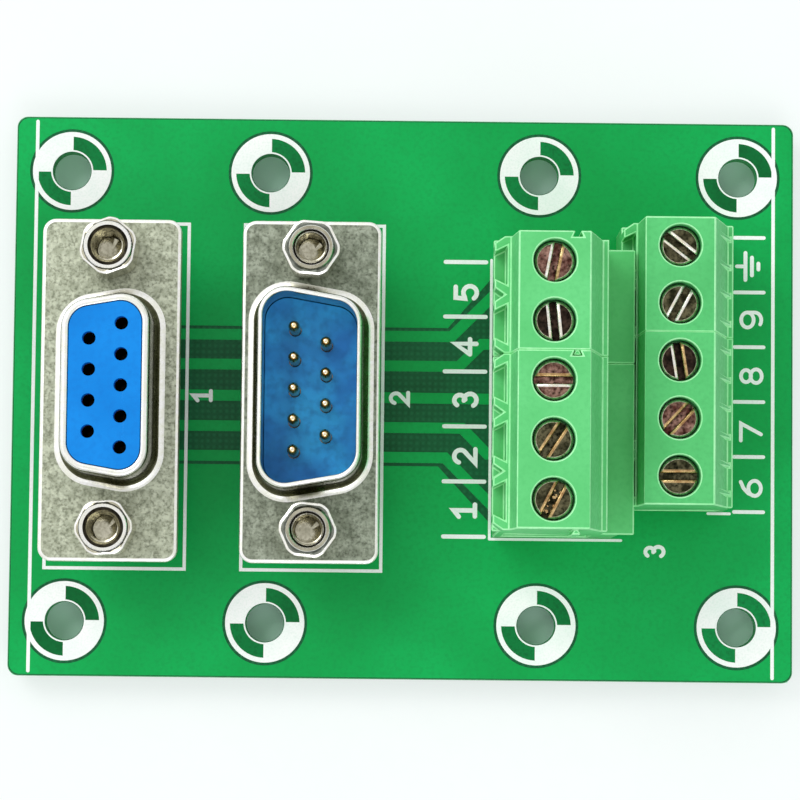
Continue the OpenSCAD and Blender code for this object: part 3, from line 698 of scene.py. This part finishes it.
# Digits are drawn in a box twice MID wide and 1 high
MID = 0.36
GLYPHS = {
    "1": [[(0.1, 0.76), (0.4, 1.0), (0.4, 0.0)], [(0.12, 0.0), (0.68, 0.0)]],
    "2": [arc(MID, 0.7, 0.3, 165, -35, 10) + [(0.04, 0.0), (0.7, 0.0)]],
    "3": [arc(MID - 0.02, 0.76, 0.26, 150, -80, 10), arc(MID, 0.27, 0.3, 95, -150, 12)],
    "4": [[(0.52, 0.0), (0.52, 1.0), (0.02, 0.3)], [(0.02, 0.3), (0.74, 0.3)]],
    "5": [[(0.64, 1.0), (0.12, 1.0), (0.08, 0.56)] + arc(MID, 0.32, 0.32, 125, -145, 12)],
    "6": [[(0.62, 1.0), (0.36, 0.86), (0.15, 0.62), (0.05, 0.33)]],
    "7": [[(0.02, 1.0), (0.72, 1.0), (0.28, 0.0)]],
    "8": [],
    "9": [[(0.67, 0.69)] + arc(MID, 0.31, 0.31, 0, -125, 8)],
}
BOWLS = {
    "6": [circle(MID, 0.31, 0.31, 24)],
    "8": [circle(MID, 0.75, 0.25, 20), circle(MID, 0.25, 0.28, 20)],
    "9": [circle(MID, 0.69, 0.31, 24)],
}
ink = bmesh.new()
lines = []


def print_line(points, width=STROKE, closed=False):
    """Each line lies a hair higher than the last, so crossing lines never share a face."""
    lines.append(points)
    plate(ink, ribbon(points, width, closed), BOARD_T + 0.002, INK_TOP + 0.0006 * (len(lines) % 12))


def print_digit(digit, place, tall, wide, width=STROKE):
    """A digit that reads up the board, its top towards -X."""
    bowls = BOWLS.get(digit, [])
    for stroke in GLYPHS[digit] + bowls:
        centred = [((u - MID) * wide / (2 * MID), (v - 0.5) * tall) for u, v in stroke]
        print_line([(place[0] - v, place[1] + u) for u, v in centred], width, stroke in bowls)


# Lines along both ends, frames round the connectors, and bars beside the terminals of each tier
for x in (-34.1, 34.15):
    print_line([(x, -25.4), (x, 25.4)], 0.32)
for x0, x1 in ((-32.8, -19.92), (-14.72, -1.86)):
    print_line([(x0, -15.95), (x1, -15.95), (x1, 15.95), (x0, 15.95)], 0.3, True)
for y in (12.7, 7.62, 2.54, -2.54, -7.62, -12.7):
    print_line([(3.85, y), (7.6, y)], 0.38)
for y in (15.24, 10.16, 5.08, 0.0, -5.08, -10.16):
    print_line([(30.6, y), (33.3, y)], 0.34)
# Terminal numbers, and the earth symbol beside the first terminal of the low tier
for digit, y in zip("54321", (9.85, 4.8, -0.1, -5.3, -10.36)):
    print_digit(digit, (5.78, y), 1.95, 1.4)
for digit, y in zip("9876", (7.6, 2.4, -2.8, -7.97)):
    print_digit(digit, (32.15, y), 1.86, 1.62, 0.34)
for x, length in ((31.6, 2.5), (32.2, 1.65), (32.8, 0.55)):
    print_line([(x, 12.58 - length / 2), (x, 12.58 + length / 2)], 0.36)
print_line([(30.8, 12.58), (31.6, 12.58)], 0.34)
# Plain numbers for the connectors and the terminal block, and the outline of the block
for digit, place in zip("123", ((-18.5, 0.0), (-0.3, 0.0), (23.3, -13.9))):
    print_digit(digit, place, 1.6, 1.1, 0.36)
for line in ([(8.1, -12.9), (20.2, -12.9)], [(28.2, -10.34), (30.2, -10.34)], [(8.1, -12.9), (8.1, 12.9)]):
    print_line(line, 0.25)
for cx, cy in HOLES:
    # Two quarters of the mark are printed white, and the other two are left open
    openings = [
        arc(cx, cy, 3.2, a + 1.5, a + 88.5, 16) + arc(cx, cy, 1.95, a + 87.5, a + 2.5, 10) for a in (0, 180)
    ]
    plate(
        ink, [circle(cx, cy, MARK_R, 72), circle(cx, cy, HOLE_R + 0.06)] + openings, BOARD_T + 0.001, INK_TOP
    )
built(ink, "printed_marks", [INK], "board", smooth=20.0)

# ---- solder and pads ----

PAD_T, PAD_SINK = 0.05, 0.005
for name, places, inner, outer in (
    ("tail_pads", tails, TAIL_HOLE_R, 0.86), ("pin_pads", tall_pins + low_pins, PIN_HOLE_R, 1.2),
    ("prong_pads", prongs, PRONG_HOLE_R, 2.3),
):
    for side, z in (("top", BOARD_T - PAD_SINK), ("under", PAD_SINK - PAD_T)):
        pad = bmesh.new()
        lathe(pad, [(inner, 0.0), (outer, 0.0), (outer, PAD_T), (inner, PAD_T), (inner, 0.0)], 28)
        bmesh.ops.remove_doubles(pad, verts=pad.verts, dist=0.0001 * MM)
        repeated(
            f"{name}_{side}", pad, [(x, y, z) for x, y in places], SOLDER, "tinned_copper", smooth=40.0
        )


def joint(wide, tall, core):
    """A solder joint hanging under a pad: wide on the pad, hollow towards the tail and domed at its tip."""
    shape = bmesh.new()
    brim = 0.06
    profile = [(0.0, 0.0), (wide, 0.0), (wide * 0.98, -brim)]
    for k in range(1, 7):
        t = k / 7
        profile.append((core + (wide - core) * (1 - t) ** 2.2, -brim - (tall - brim) * t))
    profile += [(core * 0.95, -tall), (core * 0.55, -tall - 0.08), (0.0, -tall - 0.11)]
    lathe(shape, profile, 20)
    return shape


for name, shape, places, spread, seed in (
    ("tail_solder", joint(0.8, 1.15, 0.42), tails, 0.08, 4),
    ("pin_solder", joint(1.1, 1.3, 0.66), tall_pins + low_pins, 0.06, 9),
):
    repeated(
        name, shape, [(x, y, -0.04) for x, y in places], SOLDER, "tinned_copper",
        spin=pi, spread=spread, seed=seed,
    )

# ---- D connectors ----

# The fillet between flange and collar, its steps, and how many of them carry the painted highlight
FILLET_OUT, FILLET_UP, FILLET_STEPS, FILLET_EDGE_HIGHLIGHT = 0.98, 0.85, 9, 4
# Finishes of a shell, in the order of its materials: plate, painted highlight, painted shade, and a lighter
# inside
DULL, EDGE_HIGHLIGHT, COLLAR_SHADE, INSIDE_LIGHTER = range(4)


def front_shell(name, node, place, turn, collar, wall_t, plate_finish):
    """One drawn sheet: flange, fillet, collar and rolled rim, its edges painted white as a highlight."""
    l, w = collar
    f = FLANGE_TOP
    # How far each ring lies outside the collar, its height, and the finish of the band up to it
    turns = [radians(90 * k / FILLET_STEPS) for k in range(FILLET_STEPS + 1)]
    profile = [
        (FILLET_OUT * (1 - sin(a)), f + FILLET_UP * (1 - cos(a)), EDGE_HIGHLIGHT if k < FILLET_EDGE_HIGHLIGHT else COLLAR_SHADE)
        for k, a in enumerate(turns)
    ]
    profile += [
        (0.0, RIM - 0.5, COLLAR_SHADE), (-0.03, RIM - 0.3, COLLAR_SHADE), (-0.1, RIM - 0.14, COLLAR_SHADE),
        (-0.22, RIM - 0.04, EDGE_HIGHLIGHT), (-0.34, RIM, EDGE_HIGHLIGHT), (-wall_t + 0.1, RIM, EDGE_HIGHLIGHT),
        (-wall_t + 0.03, RIM - 0.04, EDGE_HIGHLIGHT), (-wall_t, RIM - 0.12, EDGE_HIGHLIGHT), (-wall_t, f - SHELL_T, INSIDE_LIGHTER),
    ]
    bm = bmesh.new()
    rings = [
        ring(bm, put(d_loop(l + 2 * g, w + 2 * g, COLLAR_CORNER + g), place, turn), z) for g, z, _ in profile
    ]
    # The cut edge of the flange: how far it is drawn in, and its height
    edge = [
        (0.32, f), (0.1, f - 0.015), (0.03, f - 0.08), (0.0, f - 0.2), (0.0, f - 0.42), (0.08, f - SHELL_T)
    ]
    sides = [
        ring(bm, put(rounded(FLANGE_W - 2 * o, FLANGE_L - 2 * o, FLANGE_CORNER - o), place, turn), z)
        for o, z in edge
    ]
    for a, b, (_, _, mark) in zip(rings, rings[1:], profile[1:]):
        wall(bm, a, b, mark)
    for a, b, mark in zip(sides, sides[1:], (EDGE_HIGHLIGHT, EDGE_HIGHLIGHT, EDGE_HIGHLIGHT, DULL, DULL)):
        wall(bm, a, b, mark)
    holes = [circle(place[0], place[1] + s * JACK_Y, 1.55, 32) for s in (-1, 1)]
    tops, bottoms = ([ring(bm, hole, z) for hole in holes] for z in (f, f - SHELL_T))
    for a, b in zip(tops, bottoms):
        wall(bm, a, b)
    fill(bm, [sides[0], rings[0]] + tops)
    fill(bm, [sides[-1], rings[-1]] + bottoms)
    finishes = [plate_finish, TIN_EDGE_HIGHLIGHT, TIN_COLLAR_SHADE, TIN_INSIDE_LIGHTER]
    built(bm, name, finishes, "shell_steel", stands_for=(node,), smooth=40.0)


front_shell("socket_drawn_shell", "socket_front_shell", SOCKET, 0, SOCKET_COLLAR, SOCKET_WALL, TIN_PLATE)
front_shell("plug_drawn_shell", "plug_front_shell", PLUG, 180, PLUG_COLLAR, PLUG_WALL, TIN_PLATE_GREY)
# The plug's blue is painted lighter against the shade deep in its collar
for kind, blue in (("socket", SOCKET_BLUE), ("plug", PLUG_BLUE_LIGHTENED)):
    softened(kind + "_rear_shell", 0.1, [TIN_PLATE], "shell_steel", name=kind + "_rear_cup")
    softened(kind + "_front_insulator", 0.04, [blue], kind + "_blue", name=kind + "_insert")
    softened(kind + "_rear_insulator", 0.12, [blue], kind + "_blue", name=kind + "_rear_block")
    softened(kind + "_spacers", 0.08, [NICKEL], "nickel_hardware", name=kind + "_board_locks")

# The sleeves are painted near black as the shade deep in the socket's holes
softened("socket_contacts", 0.05, [SLEEVE_SHADE], "gilt_contact", name="socket_sleeves")

PIN_R, PIN_TAIL_R, PIN_BODY_R, PIN_BELOW_RIM = 0.5, 0.38, 0.8, 0.6
REAR_DEPTH, REAR_FLOOR, SEAT_GAP = 4.7, 0.35, 0.05
pin = bmesh.new()
pin_top = RIM - PIN_BELOW_RIM
body_low, body_high = FLANGE_TOP - REAR_DEPTH + REAR_FLOOR, FLANGE_TOP - SHELL_T - SEAT_GAP
lathe(
    pin,
    [
        (0.0, -TAIL_OUT), (0.3, -TAIL_OUT), (PIN_TAIL_R, -TAIL_OUT + 0.1), (PIN_TAIL_R, body_low),
        (PIN_BODY_R, body_low), (PIN_BODY_R, body_high), (PIN_R, body_high), (PIN_R, pin_top - 0.95),
        (0.47, pin_top - 0.7), (0.26, pin_top - 0.06), (0.19, pin_top - 0.02), (0.0, pin_top),
    ],
    24,
)
repeated(
    "plug_turned_pins", pin, [(x, y, 0.0) for x, y in plug_five + plug_four], GOLD, "gilt_contact",
    stands_for=("plug_pins",), smooth=50.0,
)
# A near-white cap on each pin's tip: a painted highlight
tip = bmesh.new()
lathe(tip, [(0.0, -0.1), (0.22, -0.1), (0.22, -0.03), (0.17, 0.0), (0.08, 0.012), (0.0, 0.014)], 20)
repeated(
    "plug_pin_tips", tip, [(x, y, pin_top - 0.015) for x, y in plug_five + plug_four], GOLD_TIP_HIGHLIGHT,
    "gilt_contact", smooth=50.0,
)


# The threaded bore of a jackscrew, its rings counted down from the top
THREAD_PITCH, THREAD_R, THREAD_DEPTH, THREAD_STEEP = 0.635, 1.15, 0.2, 2.4
THREAD_FROM, THREAD_STEP, THREAD_RINGS, BORE_END, BORE_TIP = 0.45, 0.09, 41, 4.12, 4.45
# How much is cut off the corners of the hexagon
CORNER_CUT = 0.2


def hexagon(inset):
    """A rule that gives the radius of the hexagon at an angle, drawn in by that much, its corners cut."""
    flat, corner = JACK_AF / 2 - inset, JACK_AF / 2 / cos(radians(30)) - CORNER_CUT - inset
    return lambda a: min(flat / cos(radians(a % 60 - 30)), corner)


def disc(r):
    """The same rule for a circle."""
    return lambda a: r


def jackscrew(bm, place, turn, crown):
    """A hexagon with a turned crown, a countersunk threaded bore, and its plain stud.

    crown lists the rings from the rim inwards: rule of the radius, drop from the top, finish of the band.
    """
    steps, top = 72, FLANGE_TOP + JACK_H
    angles = [360 * k / steps for k in range(steps)]

    def around(radius, z):
        points = [(radius(a) * cos(radians(a)), radius(a) * sin(radians(a))) for a in angles]
        return ring(bm, put(points, place, turn), z)

    def thread(z):
        """A rule for the bore at a height, where the ridge has come that far round."""
        return lambda a: THREAD_R + THREAD_DEPTH * min(
            1, THREAD_STEEP * abs(((top - z) / THREAD_PITCH + a / 360) % 1 - 0.5)
        )

    loops = [ring(bm, [place], FLANGE_TOP - STUD_L)]
    for radius, z in (
        (disc(1.2), -STUD_L), (disc(STUD_D / 2), -STUD_L + 0.25), (disc(STUD_D / 2), 0.0),
        (hexagon(0.1), 0.0), (hexagon(0.0), 0.1), (hexagon(0.0), JACK_H - 0.3),
    ):
        loops.append(around(radius, FLANGE_TOP + z))
    marks = [PLAIN] * (len(loops) - 1)
    for radius, drop, mark in crown:
        loops.append(around(radius, top - drop))
        marks.append(mark)
    for k in range(THREAD_RINGS):
        z = top - THREAD_FROM - THREAD_STEP * k
        loops.append(around(thread(z), z))
    loops += [around(disc(1.1), top - BORE_END), ring(bm, [place], top - BORE_TIP)]
    for k, (a, b) in enumerate(zip(loops, loops[1:])):
        wall(bm, a, b, marks[k] if k < len(marks) else PLAIN)


# Bands of a crown: plain nickel, painted white highlight, painted near-black shade, painted grey shade
PLAIN, HIGHLIGHT_WHITE, DARK_SHADE, SHADED = range(4)
SOCKET_CROWN = [
    (hexagon(0.06), 0.26, HIGHLIGHT_WHITE), (hexagon(0.16), 0.22, HIGHLIGHT_WHITE), (disc(2.2), 0.17, PLAIN),
    (disc(2.13), 0.05, DARK_SHADE), (disc(2.06), 0.0, HIGHLIGHT_WHITE), (disc(1.8), 0.0, HIGHLIGHT_WHITE), (disc(1.74), 0.07, DARK_SHADE),
    (disc(1.52), 0.12, DARK_SHADE), (disc(1.42), 0.24, PLAIN), (disc(1.33), 0.4, PLAIN),
]
PLUG_CROWN = [
    (hexagon(0.08), 0.26, HIGHLIGHT_WHITE), (hexagon(0.2), 0.22, HIGHLIGHT_WHITE), (disc(2.14), 0.2, SHADED),
    (disc(1.96), 0.06, SHADED), (disc(1.92), 0.01, HIGHLIGHT_WHITE), (disc(1.66), 0.0, PLAIN), (disc(1.6), 0.06, HIGHLIGHT_WHITE),
    (disc(1.42), 0.2, DARK_SHADE), (disc(1.33), 0.3, HIGHLIGHT_WHITE), (disc(1.3), 0.42, DARK_SHADE),
]
# Each connector's north and south hexagon stand turned by these angles
for kind, place, north, south, crown in (
    ("socket", SOCKET, 20, 4, SOCKET_CROWN), ("plug", PLUG, -4, -6, PLUG_CROWN)
):
    hardware = bmesh.new()
    jackscrew(hardware, (place[0], place[1] + JACK_Y), north, crown)
    jackscrew(hardware, (place[0], place[1] - JACK_Y), south, crown)
    built(
        hardware, kind + "_turned_jackscrews", [NICKEL, NICKEL_EDGE_HIGHLIGHT, DARK_SHADE_GROOVE, NICKEL_GREY_SHADE],
        "nickel_hardware", stands_for=(kind + "_jackscrews",), smooth=28.0,
    )

# ---- terminal block ----

# The front tier's housings are painted darker as shade, and the rounded edges of all of them paler as a
# highlight
for node, green in (
    ("tall_housing_north", POLYAMIDE), ("tall_housing_south", POLYAMIDE),
    ("low_housing_north", POLYAMIDE_SHADED), ("low_housing_south", POLYAMIDE_SHADED),
):
    softened(node, 0.13, [green, POLYAMIDE_EDGE_HIGHLIGHT], "green_plastic", clamp=False)
for node in ("tall_contact_bars", "low_contact_bars"):
    softened(node, 0.06, [TINNED_COPPER], "tinned_copper", name=node + "_stamped")
TALL_H, LOW_H = 24.5, 15.1
HEAD_R, HEAD_H, HEAD_SUNK, SHANK_R = 1.67, 1.3, 0.9, 1.27
DRIVER_W, DRIVER_DEPTH, RIM_BAND = 0.58, 0.8, 0.22
WEB_T, SLIDE_GAP, CAGE_TRAVEL, CAGE_TOP_T, TIP_GAP = 0.7, 0.12, 2.2, 1.1, 0.15
BAR_TOP = HEAD_SUNK + HEAD_H + WEB_T + SLIDE_GAP + CAGE_TRAVEL + CAGE_TOP_T + SLIDE_GAP
# Each batch of screws has its own shade, and the rest are olive
SHADES = {"5": SCREW_ROSE, "3": SCREW_ROSE, "7": SCREW_ROSE, "4": SCREW_BLACK, "8": SCREW_BLACK}
# Turn of each slot from the Y axis in degrees
SLOTS = dict(zip(TALL_NAMES + LOW_NAMES, (-11, 6, 90, -33, -27, 52, -28, 9, -43, 90)))
# Finishes of a screw's edges, by their places in its list of materials: painted highlight on the slot,
# painted highlight on the rim, tan wear
SLOT_HIGHLIGHT, RIM_HIGHLIGHT, TAN = 1, 2, 3
# How the two edges of each slot look, where they aren't both painted with the highlight: tan is wear
SLOT_WEAR_AND_HIGHLIGHT = {name: (TAN, SLOT_HIGHLIGHT) for name in "538"} | {name: (TAN, TAN) for name in "2176"}


def clamp_screw(name, place, top, tip):
    """A clamp screw: turned shank and head, with a half of the head on each side of the slot."""
    bm = bmesh.new()
    head_top = top - HEAD_SUNK
    floor, low = head_top - DRIVER_DEPTH, head_top - HEAD_H
    turned = [
        (0.0, tip), (SHANK_R - 0.3, tip), (SHANK_R, tip + 0.3), (SHANK_R, low), (HEAD_R - 0.05, low),
        (HEAD_R, low + 0.05), (HEAD_R, floor), (0.0, floor),
    ]
    lathe(bm, turned, 40, place)

    def half(inset, side):
        """Half of the head, drawn in from its rim and, more, from the slot."""
        r, x = HEAD_R - 0.7 * inset, DRIVER_W / 2 + inset
        reach = degrees(atan2((r * r - x * x) ** 0.5, x))
        turn = SLOTS[name] + (180 if side else 0)
        return put(arc(0, 0, r, -reach, reach, 26), place, turn)

    # Inset and drop of each ring, from just below the slot's floor up to the flat top
    rounding = [
        (0.0, DRIVER_DEPTH + 0.05), (0.0, 0.14), (0.04, 0.08), (0.12, 0.035), (0.22, 0.01), (0.29, 0.0)
    ]
    for side in (0, 1):
        loops = [ring(bm, half(inset, side), head_top - drop) for inset, drop in rounding]
        for a, b in zip(loops, loops[1:]):
            wall(bm, a, b)
        fill(bm, [loops[0]])
        fill(bm, [loops[-1]])
    screw = built(
        bm, "slotted_screw_" + name, [SHADES.get(name, SCREW_OLIVE), SCREW_EDGE_HIGHLIGHT, SCREW_RIM_HIGHLIGHT, SCREW_TAN],
        "clamp_steel", body="screw_" + name, stands_for=("clamp_screw_" + name,), smooth=30.0,
    )
    across = Vector((cos(radians(SLOTS[name])), sin(radians(SLOTS[name]))))
    for face in screw.data.polygons:
        # Only the sloping bands get the painted highlights and the tan wear, not the flats and the walls
        if face.center.z / MM > floor + 0.1 and 0.05 < face.normal.z < 0.9995:
            off = face.center.xy / MM - Vector(place)
            near, far = SLOT_WEAR_AND_HIGHLIGHT.get(name, (SLOT_HIGHLIGHT, SLOT_HIGHLIGHT))
            wear_or_highlight = near if off.dot(across) > 0 else far
            face.material_index = RIM_HIGHLIGHT if off.length > HEAD_R - RIM_BAND else wear_or_highlight


for names, x, ys, tier in ((TALL_NAMES, TALL_X, TALL_Y, TALL_H), (LOW_NAMES, LOW_X, LOW_Y, LOW_H)):
    for name, y in zip(names, ys):
        clamp_screw(name, (x, y), BOARD_T + tier, BOARD_T + tier - BAR_TOP + TIP_GAP)
for name in TALL_NAMES + LOW_NAMES:
    softened(
        "rising_cage_" + name, 0.07, [CAGE_BRASS], "cage_brass", "cage_" + name, name="stamped_cage_" + name
    )

# A tool has slipped in the slot of terminal 1 and left bright chips there
chip = bmesh.new()
bmesh.ops.create_icosphere(chip, subdivisions=1, radius=0.12 * MM)
for v in chip.verts:
    v.co.z *= 0.45
dice = random.Random(7)
chips = []
for _ in range(16):
    along, across = dice.uniform(-1.3, 1.3), dice.uniform(-0.5, 0.5)
    a = radians(SLOTS["1"] + 90)
    chips.append((
        TALL_X + along * cos(a) - across * sin(a), TALL_Y[4] + along * sin(a) + across * cos(a),
        BOARD_T + TALL_H - 1.0 + dice.uniform(-0.2, 0.04),
    ))
repeated("slot_burrs", chip, chips, SCREW_TAN, "clamp_steel", "screw_1", spin=pi, spread=0.55, seed=3)

# ---- floor, light and camera ----

FLOOR_Z, FLOOR_REACH = cad_box[0].z, 3
corners = [(x * FLOOR_REACH, y * FLOOR_REACH, FLOOR_Z) for x, y in ((-1, -1), (1, -1), (1, 1), (-1, 1))]
floor_mesh = bpy.data.meshes.new("floor")
floor_mesh.from_pydata(corners, [], [(0, 1, 2, 3)])
# Matt white paper with a faint tooth
PAPER = finish(
    "matt_white_paper", ("#f3faf9", "#f8fdfd"), patch=60.0, speck=(2.0, "#f1f8f7", 0.3),
    rough=(0.8, 0.9), relief=(1.0, 0.01), shader={"Specular IOR Level": 0.1},
)


def shaded_paper(material, under, glow):
    """Tints the paper under the board, where light comes through it, and lifts the rest for the camera.

    under is the tint, and glow the share of the lift.
    """
    tree = material.node_tree
    surface = tree.nodes["Principled BSDF"]
    place = add(tree, "ShaderNodeSeparateXYZ", {0: add(tree, "ShaderNodeTexCoord").outputs["Object"]})
    beyond = []
    for axis, size in (("X", BOARD_L), ("Y", BOARD_W)):
        off = add(tree, "ShaderNodeMath", {0: place.outputs[axis]}, operation="ABSOLUTE")
        beyond.append(add(
            tree, "ShaderNodeMath", {0: off.outputs[0], 1: size / 2 * MM}, operation="GREATER_THAN"
        ).outputs[0])
    outside = add(tree, "ShaderNodeMath", {0: beyond[0], 1: beyond[1]}, operation="MAXIMUM").outputs[0]
    plain = surface.inputs["Base Color"].links[0].from_socket
    colour = add(tree, "ShaderNodeMix", {0: outside, 6: linear(under), 7: plain}, data_type="RGBA")
    tree.links.new(colour.outputs[2], surface.inputs["Base Color"])
    seen = add(tree, "ShaderNodeLightPath").outputs["Is Camera Ray"]
    lift = add(tree, "ShaderNodeMath", {0: outside, 1: seen}, operation="MULTIPLY").outputs[0]
    share = add(tree, "ShaderNodeMath", {0: lift, 1: glow}, operation="MULTIPLY").outputs[0]
    light = add(tree, "ShaderNodeEmission", {"Color": linear("#f8fdfc"), "Strength": 1.0})
    both = add(tree, "ShaderNodeMixShader", {0: share, 1: surface.outputs[0], 2: light.outputs[0]})
    tree.links.new(both.outputs[0], tree.nodes["Material Output"].inputs["Surface"])


shaded_paper(PAPER, under="#d6ffec", glow=0.6)
floor_mesh.materials.append(PAPER)
floor = bpy.data.objects.new("floor", floor_mesh)
bpy.context.scene.collection.objects.link(floor)

world = bpy.data.worlds.new("light_tent")
bpy.context.scene.world = world
world.use_nodes = True
sky = world.node_tree
sky.nodes.clear()
# The tent is even overhead; lower down it is bright towards the key lamp and dark away from it
direction = add(sky, "ShaderNodeTexCoord").outputs["Generated"]
height = add(sky, "ShaderNodeSeparateXYZ", {0: direction})
tent = add(
    sky, "ShaderNodeValToRGB", {"Fac": height.outputs["Z"]},
    stops=[
        (0.0, (0.45, 0.45, 0.45, 1)), (1.0, (0.8, 0.8, 0.79, 1)), (0.2, (0.6, 0.6, 0.6, 1)),
        (0.45, (0.95, 0.95, 0.95, 1)), (0.8, (1.0, 1.0, 0.99, 1)),
    ],
)
TO_KEY_LAMP = (-0.75, 0.66, 0.0)
toward = add(sky, "ShaderNodeVectorMath", {0: direction, 1: TO_KEY_LAMP}, operation="DOT_PRODUCT")
rise = {"Value": height.outputs["Z"], "From Min": 0.1, "From Max": 0.6}
far_side = add(sky, "ShaderNodeMapRange", {**rise, "To Min": 0.08, "To Max": 0.92})
near_side = add(sky, "ShaderNodeMapRange", {**rise, "To Min": 1.35, "To Max": 1.1})
side = add(
    sky, "ShaderNodeMapRange",
    {
        "Value": toward.outputs["Value"], "From Min": -0.7, "From Max": 0.7,
        "To Min": far_side.outputs[0], "To Max": near_side.outputs[0],
    },
)
strength = add(sky, "ShaderNodeMath", {0: side.outputs[0], 1: 0.95}, operation="MULTIPLY")
lit = add(sky, "ShaderNodeBackground", {"Color": tent.outputs[0], "Strength": strength.outputs[0]})
plain = add(sky, "ShaderNodeBackground", {"Color": linear("#f8fdfc"), "Strength": 1.0})
rays = add(sky, "ShaderNodeLightPath")
seen = rays.outputs["Is Camera Ray"]
mixed = add(sky, "ShaderNodeMixShader", {0: seen, 1: lit.outputs[0], 2: plain.outputs[0]})
add(sky, "ShaderNodeOutputWorld", {0: mixed.outputs[0]})


def lamp(name, place, size, watts, colour):
    """A soft square lamp that looks at the middle of the board."""
    light = bpy.data.lights.new(name, "AREA")
    light.shape, light.size, light.energy, light.color = "SQUARE", size, watts, colour
    made = bpy.data.objects.new(name, light)
    made.location = place
    made.rotation_euler = (-Vector(place)).to_track_quat("-Z", "Y").to_euler()
    bpy.context.scene.collection.objects.link(made)


lamp("key_softbox", (-0.64, 0.6, 1.0), size=0.6, watts=4.6, colour=(1.0, 0.995, 0.98))
lamp("fill_softbox", (0.12, -0.6, 0.7), size=0.5, watts=1.5, colour=(0.98, 0.99, 1.0))

# Camera solved from points of the picture: 0.3 m off, nearly straight above and tipped by 4 degrees
LENS_PX, FRAME_PX, SENSOR_MM = 3251.0, 800.0, 36.0
EYE = (-1.067, -21.579, 299.221 + BOARD_T)
tilt = Euler([radians(a) for a in (-4.095, 0.157, -0.615)], "XYZ").to_matrix()
camera_data = bpy.data.cameras.new("camera")
camera_data.sensor_fit, camera_data.sensor_width = "HORIZONTAL", SENSOR_MM
camera_data.lens = LENS_PX / FRAME_PX * SENSOR_MM
camera_data.clip_start, camera_data.clip_end = 0.01, 20.0
camera = bpy.data.objects.new("camera", camera_data)
camera.matrix_world = Matrix.Translation(Vector(EYE) * MM) @ tilt.transposed().to_4x4()
bpy.context.scene.collection.objects.link(camera)
bpy.context.scene.camera = camera
bpy.context.scene.view_settings.view_transform = "Standard"
